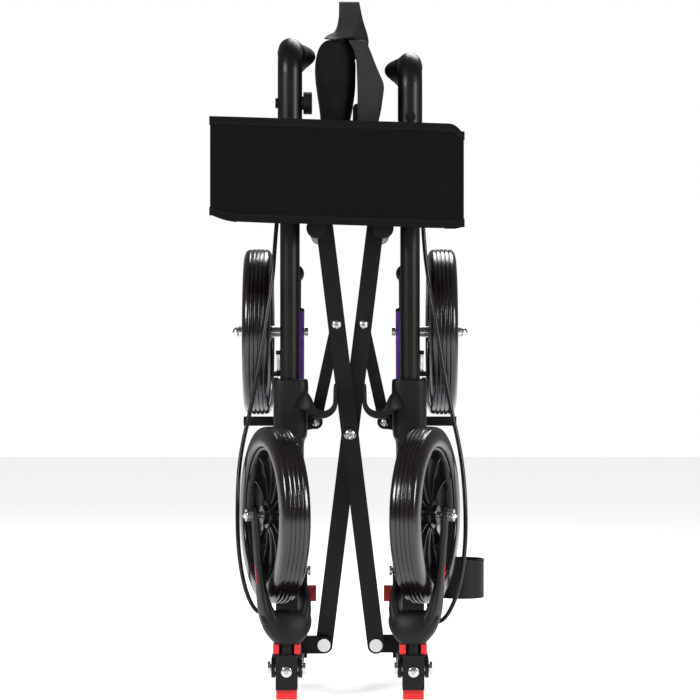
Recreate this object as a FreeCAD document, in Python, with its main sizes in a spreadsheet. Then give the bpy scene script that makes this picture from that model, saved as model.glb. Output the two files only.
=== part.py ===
import FreeCAD
import Part
import math
import os
import Sketcher
from FreeCAD import Placement, Rotation, Vector

# Side-folding rollator walker, folded for storage, millimetres.
# Frame: origin on the floor under the middle, +X across, +Y towards the user's side, +Z up.
# Every piece of a side is made once for each sign of X (-1 left, +1 right).

doc = FreeCAD.newDocument("rollator")
sheet = doc.addObject("Spreadsheet::Sheet", "Sizes")

DRIVING_SIZES = [
    ("upright_across", 70), ("upright_radius", 11.5), ("upright_top", 680), ("upright_foot", 296),
    ("frame_tube_radius", 14), ("frame_tube_top", 320), ("frame_tube_foot", 30), ("tube_wall", 1.6),
    ("seat_gap", 0.05), ("running_gap", 0.06),
    ("bar_lower", 246.8), ("bar_upper", 240.8), ("bar_width", 20), ("bar_depth", 12),
    ("rest_angle", 7), ("hinge_height", 43), ("rail_offset", 9), ("rail_radius", 10),
    ("rail_length", 230), ("rail_cap_radius", 12), ("bolt_radius", 4), ("link_reach", 128),
    ("link_width", 14), ("link_depth", 4), ("link_foot_across", 40.4), ("link_foot_height", 301),
    ("sleeve_foot", 282), ("sleeve_height", 70),
    ("cradle_across", 30.7), ("cradle_height", 326.5), ("cradle_radius", 11), ("cradle_wall", 4),
    ("handle_radius", 14.3), ("handle_foot", 560), ("handle_axis_height", 721), ("handle_bend", 30),
    ("handle_reach", 122), ("left_handle_lift", 17), ("grip_radius", 17), ("grip_length", 106),
    ("knob_radius", 13), ("knob_length", 10), ("knob_height", 656),
    ("lever_width", 12), ("lever_length", 104), ("lever_thickness", 6), ("lever_drop", 23),
    ("leg_across", 67), ("leg_radius", 12), ("leg_length", 311), ("leg_pivot_depth", 45),
    ("leg_pivot_height", 125), ("leg_tilt", 11), ("wheel_reach", 287.3), ("pedal_radius", 11.5),
    ("pedal_neck_radius", 8), ("pedal_reach", 359),
    ("wheel_radius", 100), ("wheel_width", 34), ("tread_depth", 24), ("rim_depth", 6),
    ("hub_radius", 15), ("hub_width", 30), ("axle_radius", 4), ("spoke_thickness", 3),
    ("spoke_width", 14), ("rear_wheel_across", 110),
    ("caster_depth", 150), ("caster_height", 34), ("stem_radius", 5), ("trail", 52),
    ("fork_angle", 17), ("fork_arm", 5), ("fork_gap", 40), ("fork_foot", 62), ("crown_height", 36),
    ("box_width", 24), ("box_depth", 28), ("housing_radius", 8),
    ("cup_across", 130.5), ("cup_depth", 28), ("cup_radius", 27), ("cup_wall", 3), ("cup_foot", 95),
    ("cup_height", 45), ("band_height", 119), ("band_thickness", 3), ("band_length", 290),
    ("seat_half", 200), ("seat_thickness", 5), ("seat_padding", 19), ("strap_width", 24), ("cable_radius", 2.5),
]
for row, (alias, value) in enumerate(DRIVING_SIZES, start=1):
    sheet.set("A%d" % row, alias)
    sheet.set("B%d" % row, str(value))
    sheet.setAlias("B%d" % row, alias)
doc.recompute()
SIZE = dict(DRIVING_SIZES)
nodes = {}

UP = Vector(0, 0, 1)
ACROSS = Vector(1, 0, 0)
BACK = Vector(0, 1, 0)
FACING_SIDE = Rotation(Vector(1, 1, 1), 120)   # local X, Y, Z become world Y, Z, X
FACING_FRONT = Rotation(ACROSS, 90)            # local X, Y, Z become world X, Z, -Y
SPIN_ACROSS = Rotation(UP, -90)                # local Y becomes world X


def cell(alias):
    return "Sizes." + alias


def bind(item, **expressions):
    for name, expression in expressions.items():
        item.setExpression(name, str(expression))


def cylinder(name, radius, length, start, direction=UP):
    item = doc.addObject("Part::Cylinder", name)
    bind(item, Radius=radius, Height=length)
    item.Placement = Placement(start, Rotation(UP, direction))
    return item


def block(name, across, deep, high, corner):
    item = doc.addObject("Part::Box", name)
    bind(item, Length=across, Width=deep, Height=high)
    item.Placement = Placement(corner, Rotation())
    return item


def side_block(name, side, near, far, front, back, foot, top):
    """A box whose near and far faces are distances from the middle on one side."""
    low = min(side * near, side * far)
    return block(name, far - near, back - front, top - foot, Vector(low, front, foot))


def ball(name, radius, centre):
    item = doc.addObject("Part::Sphere", name)
    bind(item, Radius=radius)
    item.Placement = Placement(centre, Rotation())
    return item


def fuse(name, pieces):
    item = doc.addObject("Part::MultiFuse", name)
    item.Shapes = pieces
    item.Refine = True
    return item


def cut(name, base, tool):
    item = doc.addObject("Part::Cut", name)
    item.Base = base
    item.Tool = tool
    return item


def keep(label, item):
    item.Label = label
    nodes[label] = item
    return item


def origin_plane(body, role):
    return [item for item in body.Origin.OriginFeatures if item.Role == role][0]


def fix_point(sketch, geometry, point, horizontal, vertical):
    for kind, expression, axis in (("DistanceX", horizontal, -2), ("DistanceY", vertical, -1)):
        if str(expression) == "0":
            sketch.addConstraint(Sketcher.Constraint("PointOnObject", geometry, point, axis))
            continue
        index = sketch.addConstraint(Sketcher.Constraint(kind, -1, 1, geometry, point, 1.0))
        sketch.setExpression("Constraints[%d]" % index, str(expression))


def evaluate(expression):
    values = {alias: float(value) for alias, value in DRIVING_SIZES}
    total = 0.0
    for term in str(expression).replace("- ", "+ -").split("+"):
        factor = 1.0
        for word in term.split("*"):
            word = word.strip()
            sign = -1.0 if word.startswith("-") else 1.0
            word = word.lstrip("-")
            factor *= sign * (values[word[6:]] if word.startswith("Sizes.") else float(word))
        total += factor
    return total


def outline_sketch(body, outline, holes=()):
    """A closed outline of straight edges; each corner is held by two expressions."""
    sketch = body.newObject("Sketcher::SketchObject", body.Name + "_outline")
    sketch.AttachmentSupport = [(origin_plane(body, "XY_Plane"), "")]
    sketch.MapMode = "FlatFace"
    points = [Vector(evaluate(x), evaluate(y), 0) for x, y in outline]
    count = len(points)
    for index in range(count):
        sketch.addGeometry(Part.LineSegment(points[index], points[(index + 1) % count]), False)
    for index in range(count):
        following = (index + 1) % count
        sketch.addConstraint(Sketcher.Constraint("Coincident", index, 2, following, 1))
    for index, (x, y) in enumerate(outline):
        fix_point(sketch, index, 1, x, y)
    for x, y, radius in holes:
        centre = Vector(evaluate(x), evaluate(y), 0)
        circle = sketch.addGeometry(Part.Circle(centre, UP, evaluate(radius)), False)
        fix_point(sketch, circle, 3, x, y)
        index = sketch.addConstraint(Sketcher.Constraint("Radius", circle, evaluate(radius)))
        sketch.setExpression("Constraints[%d]" % index, str(radius))
    return sketch


def plate_body(name, outline, thickness, holes=(), corner=None):
    """A flat plate padded from its outline, with its long edges rounded."""
    body = doc.addObject("PartDesign::Body", name)
    sketch = outline_sketch(body, outline, holes)
    pad = body.newObject("PartDesign::Pad", name + "_pad")
    pad.Profile = sketch
    bind(pad, Length=thickness)
    doc.recompute()
    if corner is None:
        return body
    edges = []
    for number, edge in enumerate(pad.Shape.Edges, start=1):
        straight = isinstance(edge.Curve, Part.Line)
        straight = straight and len(pad.Shape.ancestorsOfType(edge, Part.Face)) == 2
        if straight and abs(abs(edge.tangentAt(edge.FirstParameter).z) - 1) < 1e-6:
            edges.append("Edge%d" % number)
    fillet = body.newObject("PartDesign::Fillet", name + "_rounding")
    fillet.Base = (pad, edges)
    bind(fillet, Radius=corner)
    doc.recompute()
    return body


def turned_body(name, outline):
    """A ring or knob turned about its local Y axis."""
    body = doc.addObject("PartDesign::Body", name)
    sketch = outline_sketch(body, outline)
    turn = body.newObject("PartDesign::Revolution", name + "_turn")
    turn.Profile = sketch
    turn.ReferenceAxis = (sketch, ["V_Axis"])
    turn.Angle = 360
    doc.recompute()
    return body


REST = math.radians(SIZE["rest_angle"])
HINGE_ACROSS = SIZE["bar_lower"] * math.sin(REST)
CENTRE_HEIGHT = SIZE["hinge_height"] + SIZE["bar_lower"] * math.cos(REST)
LEAN = math.radians(SIZE["leg_tilt"])
LEG_WAY = Vector(0, math.sin(LEAN), math.cos(LEAN))
BAR_FRONT = {"a": -16, "b": -2}                # the front bar and the one behind it
LUG_FRONT = {"a": -3.5, "b": -14}              # a lug stands behind the front bar, before the other
LUG_DEPTH = 11.5
BRAKE_PIN_ALONG, BRAKE_PIN_BEHIND = 173, -6    # on the rear leg, from its pivot
SIDES = (("left", -1), ("right", 1))


def leg_point(side, across, along, behind=0):
    """A point beside the folded rear leg, measured along it from its pivot."""
    depth = SIZE["leg_pivot_depth"] + along * math.sin(LEAN) + behind * math.cos(LEAN)
    height = SIZE["leg_pivot_height"] + along * math.cos(LEAN) - behind * math.sin(LEAN)
    return Vector(side * across, depth, height)


# ---- Side frame: purple tube, black upright above it, moulded sleeve with the rail cradle ----

def side_frame(name, side):
    foot = Vector(side * SIZE["upright_across"], 0, SIZE["frame_tube_foot"])
    length = cell("frame_tube_top") + " - " + cell("frame_tube_foot")
    outer = cylinder("frame_outer", cell("frame_tube_radius"), length, foot)
    inner = cylinder("frame_inner", "Sizes.frame_tube_radius - Sizes.tube_wall", length, foot)
    keep("frame_tube_" + name, cut("frame_tube", outer, inner))


def upright(name, side):
    foot = Vector(side * SIZE["upright_across"], 0, SIZE["upright_foot"])
    length = "Sizes.upright_top - Sizes.upright_foot"
    outer = cylinder("upright_outer", cell("upright_radius"), length, foot)
    inner = cylinder("upright_inner", "Sizes.upright_radius - Sizes.tube_wall", length, foot)
    keep("upright_" + name, cut("upright", outer, inner))


def sleeve(name, side):
    """Moulded collar that joins the tubes and holds the J-shaped cradle for the seat rail."""
    near, far = 48, 90                        # from the middle of the walker
    foot, top = SIZE["sleeve_foot"], SIZE["sleeve_foot"] + SIZE["sleeve_height"]
    collar = side_block("collar", side, near, far, -20, 20, foot, top)
    boss = side_block("cradle_boss", side, near - 6.5, 62, -33, -18, 309, 342)
    front = Vector(side * SIZE["cradle_across"], -33, SIZE["cradle_height"])
    ring = cylinder("cradle_ring", "Sizes.cradle_radius + Sizes.cradle_wall", 14, front, BACK)
    tip_near = SIZE["cradle_across"] - SIZE["cradle_radius"] - SIZE["cradle_wall"]
    tip = side_block("cradle_tip", side, tip_near, SIZE["cradle_across"], -33, -19, 325, 347)
    way_in = side_block("cradle_way_in", side, SIZE["cradle_across"] - SIZE["cradle_radius"],
                        SIZE["cradle_across"] + SIZE["cradle_radius"], -34, -18.5,
                        SIZE["cradle_height"], 352)
    hollow = cylinder("cradle_hollow", cell("cradle_radius"), 15.5,
                      front + Vector(0, -1, 0), BACK)
    link_foot = Vector(side * SIZE["link_foot_across"], 12, SIZE["link_foot_height"])
    pin = cylinder("link_pin", cell("bolt_radius"), 10, link_foot, BACK)
    lug = side_block("link_lug", side, 34, 50, 17.6, 22,
                     SIZE["link_foot_height"] - 7, SIZE["link_foot_height"] + 11)
    axis = Vector(side * SIZE["upright_across"], 0, foot - 1)
    lower = cylinder("collar_lower_bore", "Sizes.frame_tube_radius + Sizes.seat_gap",
                     SIZE["frame_tube_top"] - foot + 1.05, axis)
    upper = cylinder("collar_upper_bore", "Sizes.upright_radius + Sizes.seat_gap",
                     SIZE["sleeve_height"] + 2, axis)
    solid = fuse("sleeve_solid", [collar, boss, ring, tip, pin, lug])
    keep("sleeve_" + name, cut("sleeve", solid, fuse("sleeve_hollows", [way_in, hollow, lower, upper])))


def base_casting(name, side):
    """Black casting: foot of the side frame, caster yoke, rear-leg ears and brace lug."""
    lug_front = LUG_FRONT["b" if side < 0 else "a"]
    hinge = Vector(side * HINGE_ACROSS, lug_front, SIZE["hinge_height"])
    yoke_end = -SIZE["caster_depth"]
    pivot = Vector(side * 50, SIZE["leg_pivot_depth"], SIZE["leg_pivot_height"])
    pieces = [
        side_block("casting_beam", side, 56, 84, -108, 62, 20, 48),
        side_block("casting_tower", side, 54, 86, -17, 28, 20, 108),
        side_block("casting_foot", side, 60, 80, 40, 60, 0, 21),
        side_block("brace_lug", side, HINGE_ACROSS, 57, lug_front, lug_front + LUG_DEPTH, 33, 53),
        cylinder("brace_lug_end", 10, LUG_DEPTH, hinge, BACK),
    ]
    for near, far in ((53, 57), (83, 87)):
        pieces.append(side_block("yoke_ear", side, near, far, yoke_end, -100, 23, 45))
        start = Vector(min(side * near, side * far), yoke_end, SIZE["caster_height"])
        pieces.append(cylinder("yoke_ear_end", 11, far - near, start, ACROSS))
    for near, far in ((50.5, 54.5), (79.5, 83.5)):
        pieces.append(side_block("leg_ear", side, near, far, 20, 58, 24, 125))
        start = Vector(min(side * near, side * far), pivot.y, pivot.z)
        pieces.append(cylinder("leg_ear_end", 13, far - near, start, ACROSS))
    pieces.append(side_block("ear_web_inner", side, 50.5, 57, 20, 58, 24, 46))
    if side > 0:
        pieces.append(side_block("cup_arm", side, 82, SIZE["cup_across"] - 25, 20, 36, 98, 108))
    solid = fuse("casting_solid", pieces)
    axis = Vector(side * SIZE["upright_across"], 0, SIZE["frame_tube_foot"])
    side_start = Vector(min(side * 45, side * 95), 0, 0)
    hollows = [
        cylinder("frame_tube_socket", "Sizes.frame_tube_radius + Sizes.seat_gap", 90, axis),
        cylinder("brace_pin_bore", "Sizes.bolt_radius + Sizes.running_gap", 13,
                 hinge + Vector(0, -1, 0), BACK),
        cylinder("caster_pin_bore", "Sizes.bolt_radius + Sizes.running_gap", 50,
                 side_start + Vector(0, yoke_end, SIZE["caster_height"]), ACROSS),
        cylinder("leg_pin_bore", "Sizes.bolt_radius + Sizes.running_gap", 50,
                 side_start + Vector(0, pivot.y, pivot.z), ACROSS),
    ]
    if side > 0:
        centre = Vector(side * SIZE["cup_across"], SIZE["cup_depth"], 90)
        hollows.append(cylinder("cup_seat", "Sizes.cup_radius + Sizes.seat_gap", 60, centre))
    keep("base_casting_" + name, cut("base_casting", solid, fuse("casting_hollows", hollows)))


def cane_cup():
    centre = Vector(SIZE["cup_across"], SIZE["cup_depth"], SIZE["cup_foot"])
    wall = cylinder("cup_wall_solid", cell("cup_radius"), cell("cup_height"), centre)
    lip = doc.addObject("Part::Torus", "cup_lip")
    bind(lip, Radius1="Sizes.cup_radius - Sizes.cup_wall * 0.5", Radius2="Sizes.cup_wall * 0.5 + 0.5")
    lip.Placement = Placement(centre + Vector(0, 0, SIZE["cup_height"] - 2), Rotation())
    hollow = cylinder("cup_hollow", "Sizes.cup_radius - Sizes.cup_wall", cell("cup_height"),
                      centre + Vector(0, 0, SIZE["cup_wall"]))
    keep("cane_cup", cut("cane_cup_body", fuse("cup_solid", [wall, lip]), hollow))


# ---- Folding cross brace: two bars with the seat rails welded on top, and two guide links ----

def bar(letter, side):
    """Side is that of the bar's upper end and rail; its foot is on the other side."""
    half = SIZE["bar_width"] / 2
    width, length = cell("bar_width"), "Sizes.bar_lower + Sizes.bar_upper"
    outline = [(0, 0), (width, 0), (width, length + " + Sizes.bar_width"),
               (0, length + " + Sizes.bar_width")]
    pin = "Sizes.bolt_radius + Sizes.running_gap"
    middle = "Sizes.bar_width * 0.5"
    holes = [(middle, middle, pin), (middle, "Sizes.bar_lower + Sizes.bar_width * 0.5", pin)]
    plate = plate_body("bar_plate_" + letter, outline, cell("bar_depth"), holes, "9.9")
    tilt = Rotation(BACK, side * SIZE["rest_angle"])
    back = BAR_FRONT[letter] + SIZE["bar_depth"]
    foot = Vector(-side * HINGE_ACROSS, back, SIZE["hinge_height"])
    plate.Placement = Placement(foot, tilt.multiply(FACING_FRONT)).multiply(
        Placement(Vector(-half, -half, 0), Rotation()))
    across = side * (SIZE["bar_upper"] * math.sin(REST) + SIZE["rail_offset"] * math.cos(REST))
    height = CENTRE_HEIGHT + SIZE["bar_upper"] * math.cos(REST) - SIZE["rail_offset"] * math.sin(REST)
    front = Vector(across, -34, height)
    rail = cylinder("rail_tube_" + letter, cell("rail_radius"), cell("rail_length"), front, BACK)
    cap = cylinder("rail_cap_" + letter, cell("rail_cap_radius"), 5, front + Vector(0, -4, 0), BACK)
    pieces = [plate, rail, cap]
    if letter == "a":
        centre = Vector(0, -20, CENTRE_HEIGHT)
        pieces += [cylinder("centre_shank", cell("bolt_radius"), 34, centre, BACK),
                   cylinder("centre_head", 7, 4.2, centre, BACK),
                   cylinder("centre_nut", 7, 3, centre + Vector(0, 31, 0), BACK)]
    keep("brace_bar_" + letter, fuse("brace_bar", pieces))


def frame_bolts(name, side):
    """The steel pins fixed in one side's casting: brace hinge, rear leg and caster hinge."""
    bar_front = BAR_FRONT["b" if side < 0 else "a"]
    lug_front = LUG_FRONT["b" if side < 0 else "a"]
    start = min(bar_front, lug_front) - 3.5
    length = 7 + max(bar_front + SIZE["bar_depth"], lug_front + LUG_DEPTH) - min(bar_front, lug_front)
    foot = Vector(side * HINGE_ACROSS, start, SIZE["hinge_height"])
    leg = Vector(min(side * 49.5, side * 84.5), SIZE["leg_pivot_depth"], SIZE["leg_pivot_height"])
    yoke = Vector(min(side * 49, side * 91), -SIZE["caster_depth"], SIZE["caster_height"])
    pins = [(foot, BACK, length, 7.5), (leg, ACROSS, 35, 6.5), (yoke, ACROSS, 42, 7)]
    bolts = []
    for start, way, length, head in pins:
        shank = cylinder("pin_shank", cell("bolt_radius"), length, start, way)
        ends = [cylinder("pin_head", head, 2.9, start + way * offset, way)
                for offset in ((0, length - 2.9) if head != 6.5 else (-2.9, length))]
        bolts.append(fuse("frame_bolt", [shank] + ends))
    group = doc.addObject("Part::Compound", "frame_bolts")
    group.Links = bolts
    keep("frame_bolts_" + name, group)


def link(name, side):
    """Flat guide link from a bolt on the sleeve up to its bar."""
    foot = Vector(side * SIZE["link_foot_across"], 17, SIZE["link_foot_height"])
    head = Vector(side * SIZE["link_reach"] * math.sin(REST), 17,
                  CENTRE_HEIGHT + SIZE["link_reach"] * math.cos(REST))
    way = head - foot
    half = SIZE["link_width"] / 2
    width = cell("link_width")
    length = "%.3f + Sizes.link_width" % way.Length
    outline = [(0, 0), (width, 0), (width, length), (0, length)]
    middle = "Sizes.link_width * 0.5"
    holes = [(middle, middle, "Sizes.bolt_radius + Sizes.running_gap")]
    plate = plate_body("link_plate_" + name, outline, cell("link_depth"), holes, "6.9")
    turn = Rotation(BACK, math.degrees(math.atan2(way.x, way.z)))
    plate.Placement = Placement(foot, turn.multiply(FACING_FRONT)).multiply(
        Placement(Vector(-half, -half, 0), Rotation()))
    keep("guide_link_" + name, plate)


for name, side in SIDES:
    side_frame(name, side)
    upright(name, side)
    sleeve(name, side)
    base_casting(name, side)
    link(name, side)
    frame_bolts(name, side)
cane_cup()
bar("a", -1)
bar("b", 1)


# ---- Wheels: rubber tyre on a moulded rim with twelve thin spokes ----

def wheel(prefix, name, centre, turn):
    """The wheel's axle is local Y, which turn points across the walker."""
    half = SIZE["wheel_width"] / 2
    width, radius, round_off = cell("wheel_width"), cell("wheel_radius"), 7
    inner = "Sizes.wheel_radius - Sizes.tread_depth"
    shoulder = "Sizes.wheel_radius - %d" % round_off
    tyre = turned_body(prefix + "_tyre_" + name, [
        (inner, 3), (inner, width + " - 3"), (shoulder + " - 5", width), (shoulder, width),
        (radius + " - 2", width + " - %d" % round_off), (radius, width + " - 12"), (radius, 12),
        (radius + " - 2", round_off), (shoulder, 0), (shoulder + " - 5", 0)])
    at_centre = Placement(centre, turn)
    tyre.Placement = at_centre.multiply(Placement(Vector(0, -half, 0), Rotation()))
    keep(prefix + "_tyre_" + name, tyre)
    hub_half = SIZE["hub_width"] / 2
    rim_inner = "Sizes.wheel_radius - Sizes.tread_depth - Sizes.rim_depth"
    ring = turned_body(prefix + "_rim_ring_" + name, [
        (rim_inner, 5), (rim_inner, width + " - 5"), (inner, width + " - 5"), (inner, 5)])
    ring.Placement = tyre.Placement
    hub_foot = at_centre.multiply(Placement(Vector(0, -hub_half, 0), Rotation()))
    way = turn.multVec(BACK)
    pieces = [ring, cylinder("hub_barrel", cell("hub_radius"), cell("hub_width"), hub_foot.Base, way)]
    for index in range(12):
        spoke = doc.addObject("Part::Box", "spoke")
        bind(spoke, Length=rim_inner + " - 8", Width=cell("spoke_width"),
             Height=cell("spoke_thickness"))
        about = Rotation(BACK, 30 * index)
        corner = Placement(Vector(9, -SIZE["spoke_width"] / 2, -SIZE["spoke_thickness"] / 2), Rotation())
        spoke.Placement = at_centre.multiply(Placement(Vector(), about)).multiply(corner)
        pieces.append(spoke)
    bore = cylinder("hub_bore", "Sizes.axle_radius + Sizes.running_gap",
                    "Sizes.hub_width + 2", hub_foot.Base - way, way)
    keep(prefix + "_rim_" + name, cut("rim", fuse("rim_solid", pieces), bore))


# ---- Rear leg: purple tube, wheel on an outboard axle, shoe brake and tip pedal ----

def rear_leg(name, side):
    across, pivot = SIZE["leg_across"], leg_point(side, SIZE["leg_across"], 0)
    tube = cylinder("leg_tube", cell("leg_radius"), cell("leg_length"), pivot, LEG_WAY)
    end = ball("leg_end", cell("leg_radius"), pivot)
    bushes = []
    start = side * 54.7 if side > 0 else -79.3
    bushes.append(cylinder("leg_bush", 9, 24.6, Vector(start, pivot.y, pivot.z), ACROSS))
    brake_pin = leg_point(side, across, BRAKE_PIN_ALONG, BRAKE_PIN_BEHIND)
    brake_pin.x = min(side * 70, side * 86.5)
    bushes.append(cylinder("brake_pin", cell("bolt_radius"), 16.5, brake_pin, ACROSS))
    stop = leg_point(side, across, 236, 0)
    bushes.append(side_block("cable_stop", side, across, 92, stop.y - 4, stop.y + 4,
                             stop.z - 2.5, stop.z + 2.5))
    spring_seat = leg_point(side, across, 262, 0)
    bushes.append(side_block("spring_seat", side, across, 88.5, spring_seat.y - 4, spring_seat.y + 4,
                             spring_seat.z - 2, spring_seat.z + 2))
    bores = [cylinder("leg_pin_hole", "Sizes.bolt_radius + Sizes.running_gap", 60,
                      Vector(start - 15, pivot.y, pivot.z), ACROSS)]
    axle = leg_point(side, 45, SIZE["wheel_reach"])
    axle = Vector(min(side * 45, side * 100), axle.y, axle.z)
    bores.append(cylinder("axle_hole", "Sizes.axle_radius + Sizes.seat_gap", 55, axle, ACROSS))
    solid = fuse("leg_solid", [tube, end] + bushes)
    keep("rear_leg_" + name, cut("rear_leg", solid, fuse("leg_holes", bores)))

    foot = leg_point(side, across, SIZE["leg_length"])
    neck = cylinder("pedal_neck", cell("pedal_neck_radius"), 40, foot, LEG_WAY)
    flange = cylinder("pedal_flange", 12, 4, foot, LEG_WAY)
    knob = ball("pedal_knob", cell("pedal_radius"), leg_point(side, across, SIZE["pedal_reach"]))
    keep("tip_pedal_" + name, fuse("tip_pedal", [neck, flange, knob]))

    centre = leg_point(side, SIZE["rear_wheel_across"], SIZE["wheel_reach"])
    wheel("rear", name, centre, SPIN_ACROSS)
    hub_near = SIZE["rear_wheel_across"] - SIZE["hub_width"] / 2
    hub_far = SIZE["rear_wheel_across"] + SIZE["hub_width"] / 2

    def along_axle(label, radius, near, far):
        return cylinder(label, radius, far - near,
                        Vector(min(side * near, side * far), centre.y, centre.z), ACROSS)
    pieces = [along_axle("axle_shank", cell("axle_radius"), 50.5, 138),
              along_axle("axle_head", 6.5, 50.5, 54.5),
              along_axle("axle_spacer", 7, 79.5, hub_near - 0.3),
              along_axle("axle_washer", 10, hub_far + 0.3, hub_far + 2),
              along_axle("axle_nut", 7, hub_far + 2, hub_far + 9)]
    dome = ball("axle_dome", 5.5, Vector(side * (hub_far + 11), centre.y, centre.z))
    keep("rear_axle_" + name, fuse("rear_axle", pieces + [dome]))

    tread = Vector(0, centre.y, centre.z - SIZE["wheel_radius"])
    pin = leg_point(side, across, BRAKE_PIN_ALONG, BRAKE_PIN_BEHIND)
    arm = side_block("brake_plate", side, 80.2, 84.6, pin.y - 8, tread.y + 6, tread.z - 15, tread.z - 3)
    tail = side_block("brake_tail", side, 80.2, 84.6, pin.y - 8, pin.y + 8, tread.z - 20, tread.z + 2)
    shoe = side_block("brake_shoe", side, 80.2, 128, tread.y - 6, tread.y + 6, tread.z - 13, tread.z - 2)
    low = min(side * 78, side * 88)
    hole = cylinder("brake_pin_hole", "Sizes.bolt_radius + Sizes.running_gap", 10,
                    Vector(low, pin.y, pin.z), ACROSS)
    keep("brake_arm_" + name, cut("brake_arm", fuse("brake_arm_solid", [arm, tail, shoe]), hole))
    spring_foot = leg_point(side, 84, 240)
    coil = cylinder("spring_outer", 4.2, 18, spring_foot, LEG_WAY)
    core = cylinder("spring_core", 3.2, 18, spring_foot, LEG_WAY)
    keep("brake_spring_" + name, cut("brake_spring", coil, core))


# ---- Front caster: hinged box bracket with its red release, fork, wheel ----

def caster(name, side):
    middle = 70
    depth, height = -SIZE["caster_depth"], SIZE["caster_height"]
    half_box, half_deep = SIZE["box_width"] / 2, SIZE["box_depth"] / 2
    box = side_block("caster_box", side, middle - half_box, middle + half_box,
                     depth - half_deep, depth + half_deep, 11, 49)
    stem_axis = Vector(side * middle, depth, 40)
    housing = cylinder("caster_housing", cell("housing_radius"), 21, stem_axis)
    low = Vector(min(side * 50, side * 90), depth, height)
    pin_bore = cylinder("box_pin_bore", "Sizes.bolt_radius + Sizes.seat_gap", 40, low, ACROSS)
    stem_bore = cylinder("stem_bore", "Sizes.stem_radius + Sizes.running_gap", 30,
                         stem_axis + Vector(0, 0, 1), UP)
    keep("caster_box_" + name,
         cut("caster_body", fuse("caster_solid", [box, housing]), fuse("caster_bores", [pin_bore, stem_bore])))
    pad = side_block("release_pad", side, middle - 11.5, middle + 11.5, depth - 9, depth + 9, 0, 11)
    keep("caster_release_" + name, pad)
    tabs = [side_block("latch_tab", side, near, near + 6.5, depth - 8, depth + 12, 50, 60.5)
            for near in (middle - 15, middle + 8.5)]
    bridge = side_block("latch_bridge", side, middle - 15, middle + 15, depth + 8.7, depth + 12, 50, 60.5)
    keep("front_latch_" + name, fuse("front_latch", tabs + [bridge]))

    turn = Rotation(UP, -side * SIZE["fork_angle"])
    stem = Vector(side * middle, depth, 0)
    local = Placement(stem, turn)

    def turned(item):
        item.Placement = local.multiply(item.Placement)
        return item
    foot = SIZE["fork_foot"]
    arm_outline = [(4, 0), (36, 0), (44, 34), (72, 96), (86, 128), (84, 146), (74, 152), (62, 148),
                   (30, 100), (8, 52)]
    half_gap = SIZE["fork_gap"] / 2
    arms = []
    for near in (-half_gap - SIZE["fork_arm"], half_gap):
        hole = [(72, 138, "Sizes.axle_radius + Sizes.seat_gap")]
        arm = plate_body("fork_arm_%s_%d" % (name, len(arms)), arm_outline, cell("fork_arm"), hole, 3.5)
        arm.Placement = local.multiply(Placement(Vector(near, -20, foot), FACING_SIDE))
        arms.append(arm)
    crown_wide = SIZE["fork_gap"] + 2 * SIZE["fork_arm"]
    crown = turned(block("fork_crown", crown_wide, 30, cell("crown_height"),
                         Vector(-crown_wide / 2, -15, foot)))
    collar = turned(cylinder("fork_collar", 21, 26, Vector(0, 0, foot)))
    post = turned(cylinder("fork_stem", cell("stem_radius"), foot - 42 + 4, Vector(0, 0, 42)))
    keep("fork_" + name, fuse("fork", arms + [crown, collar, post]))
    centre = local.multVec(Vector(0, SIZE["trail"], foot + 138))
    wheel("front", name, centre, turn.multiply(SPIN_ACROSS))
    start = local.multVec(Vector(-half_gap - 13, SIZE["trail"], foot + 138))
    way = turn.multVec(ACROSS)
    shank = cylinder("front_axle_shank", cell("axle_radius"), SIZE["fork_gap"] + 26, start, way)
    ends = [cylinder("front_axle_head", 7, 7, start, way),
            cylinder("front_axle_nut", 7, 7, start + way * (SIZE["fork_gap"] + 19), way)]
    keep("front_axle_" + name, fuse("front_axle", [shank] + ends))


# ---- Handle: tube that slides on the upright, grip, height knob, brake lever ----

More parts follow.
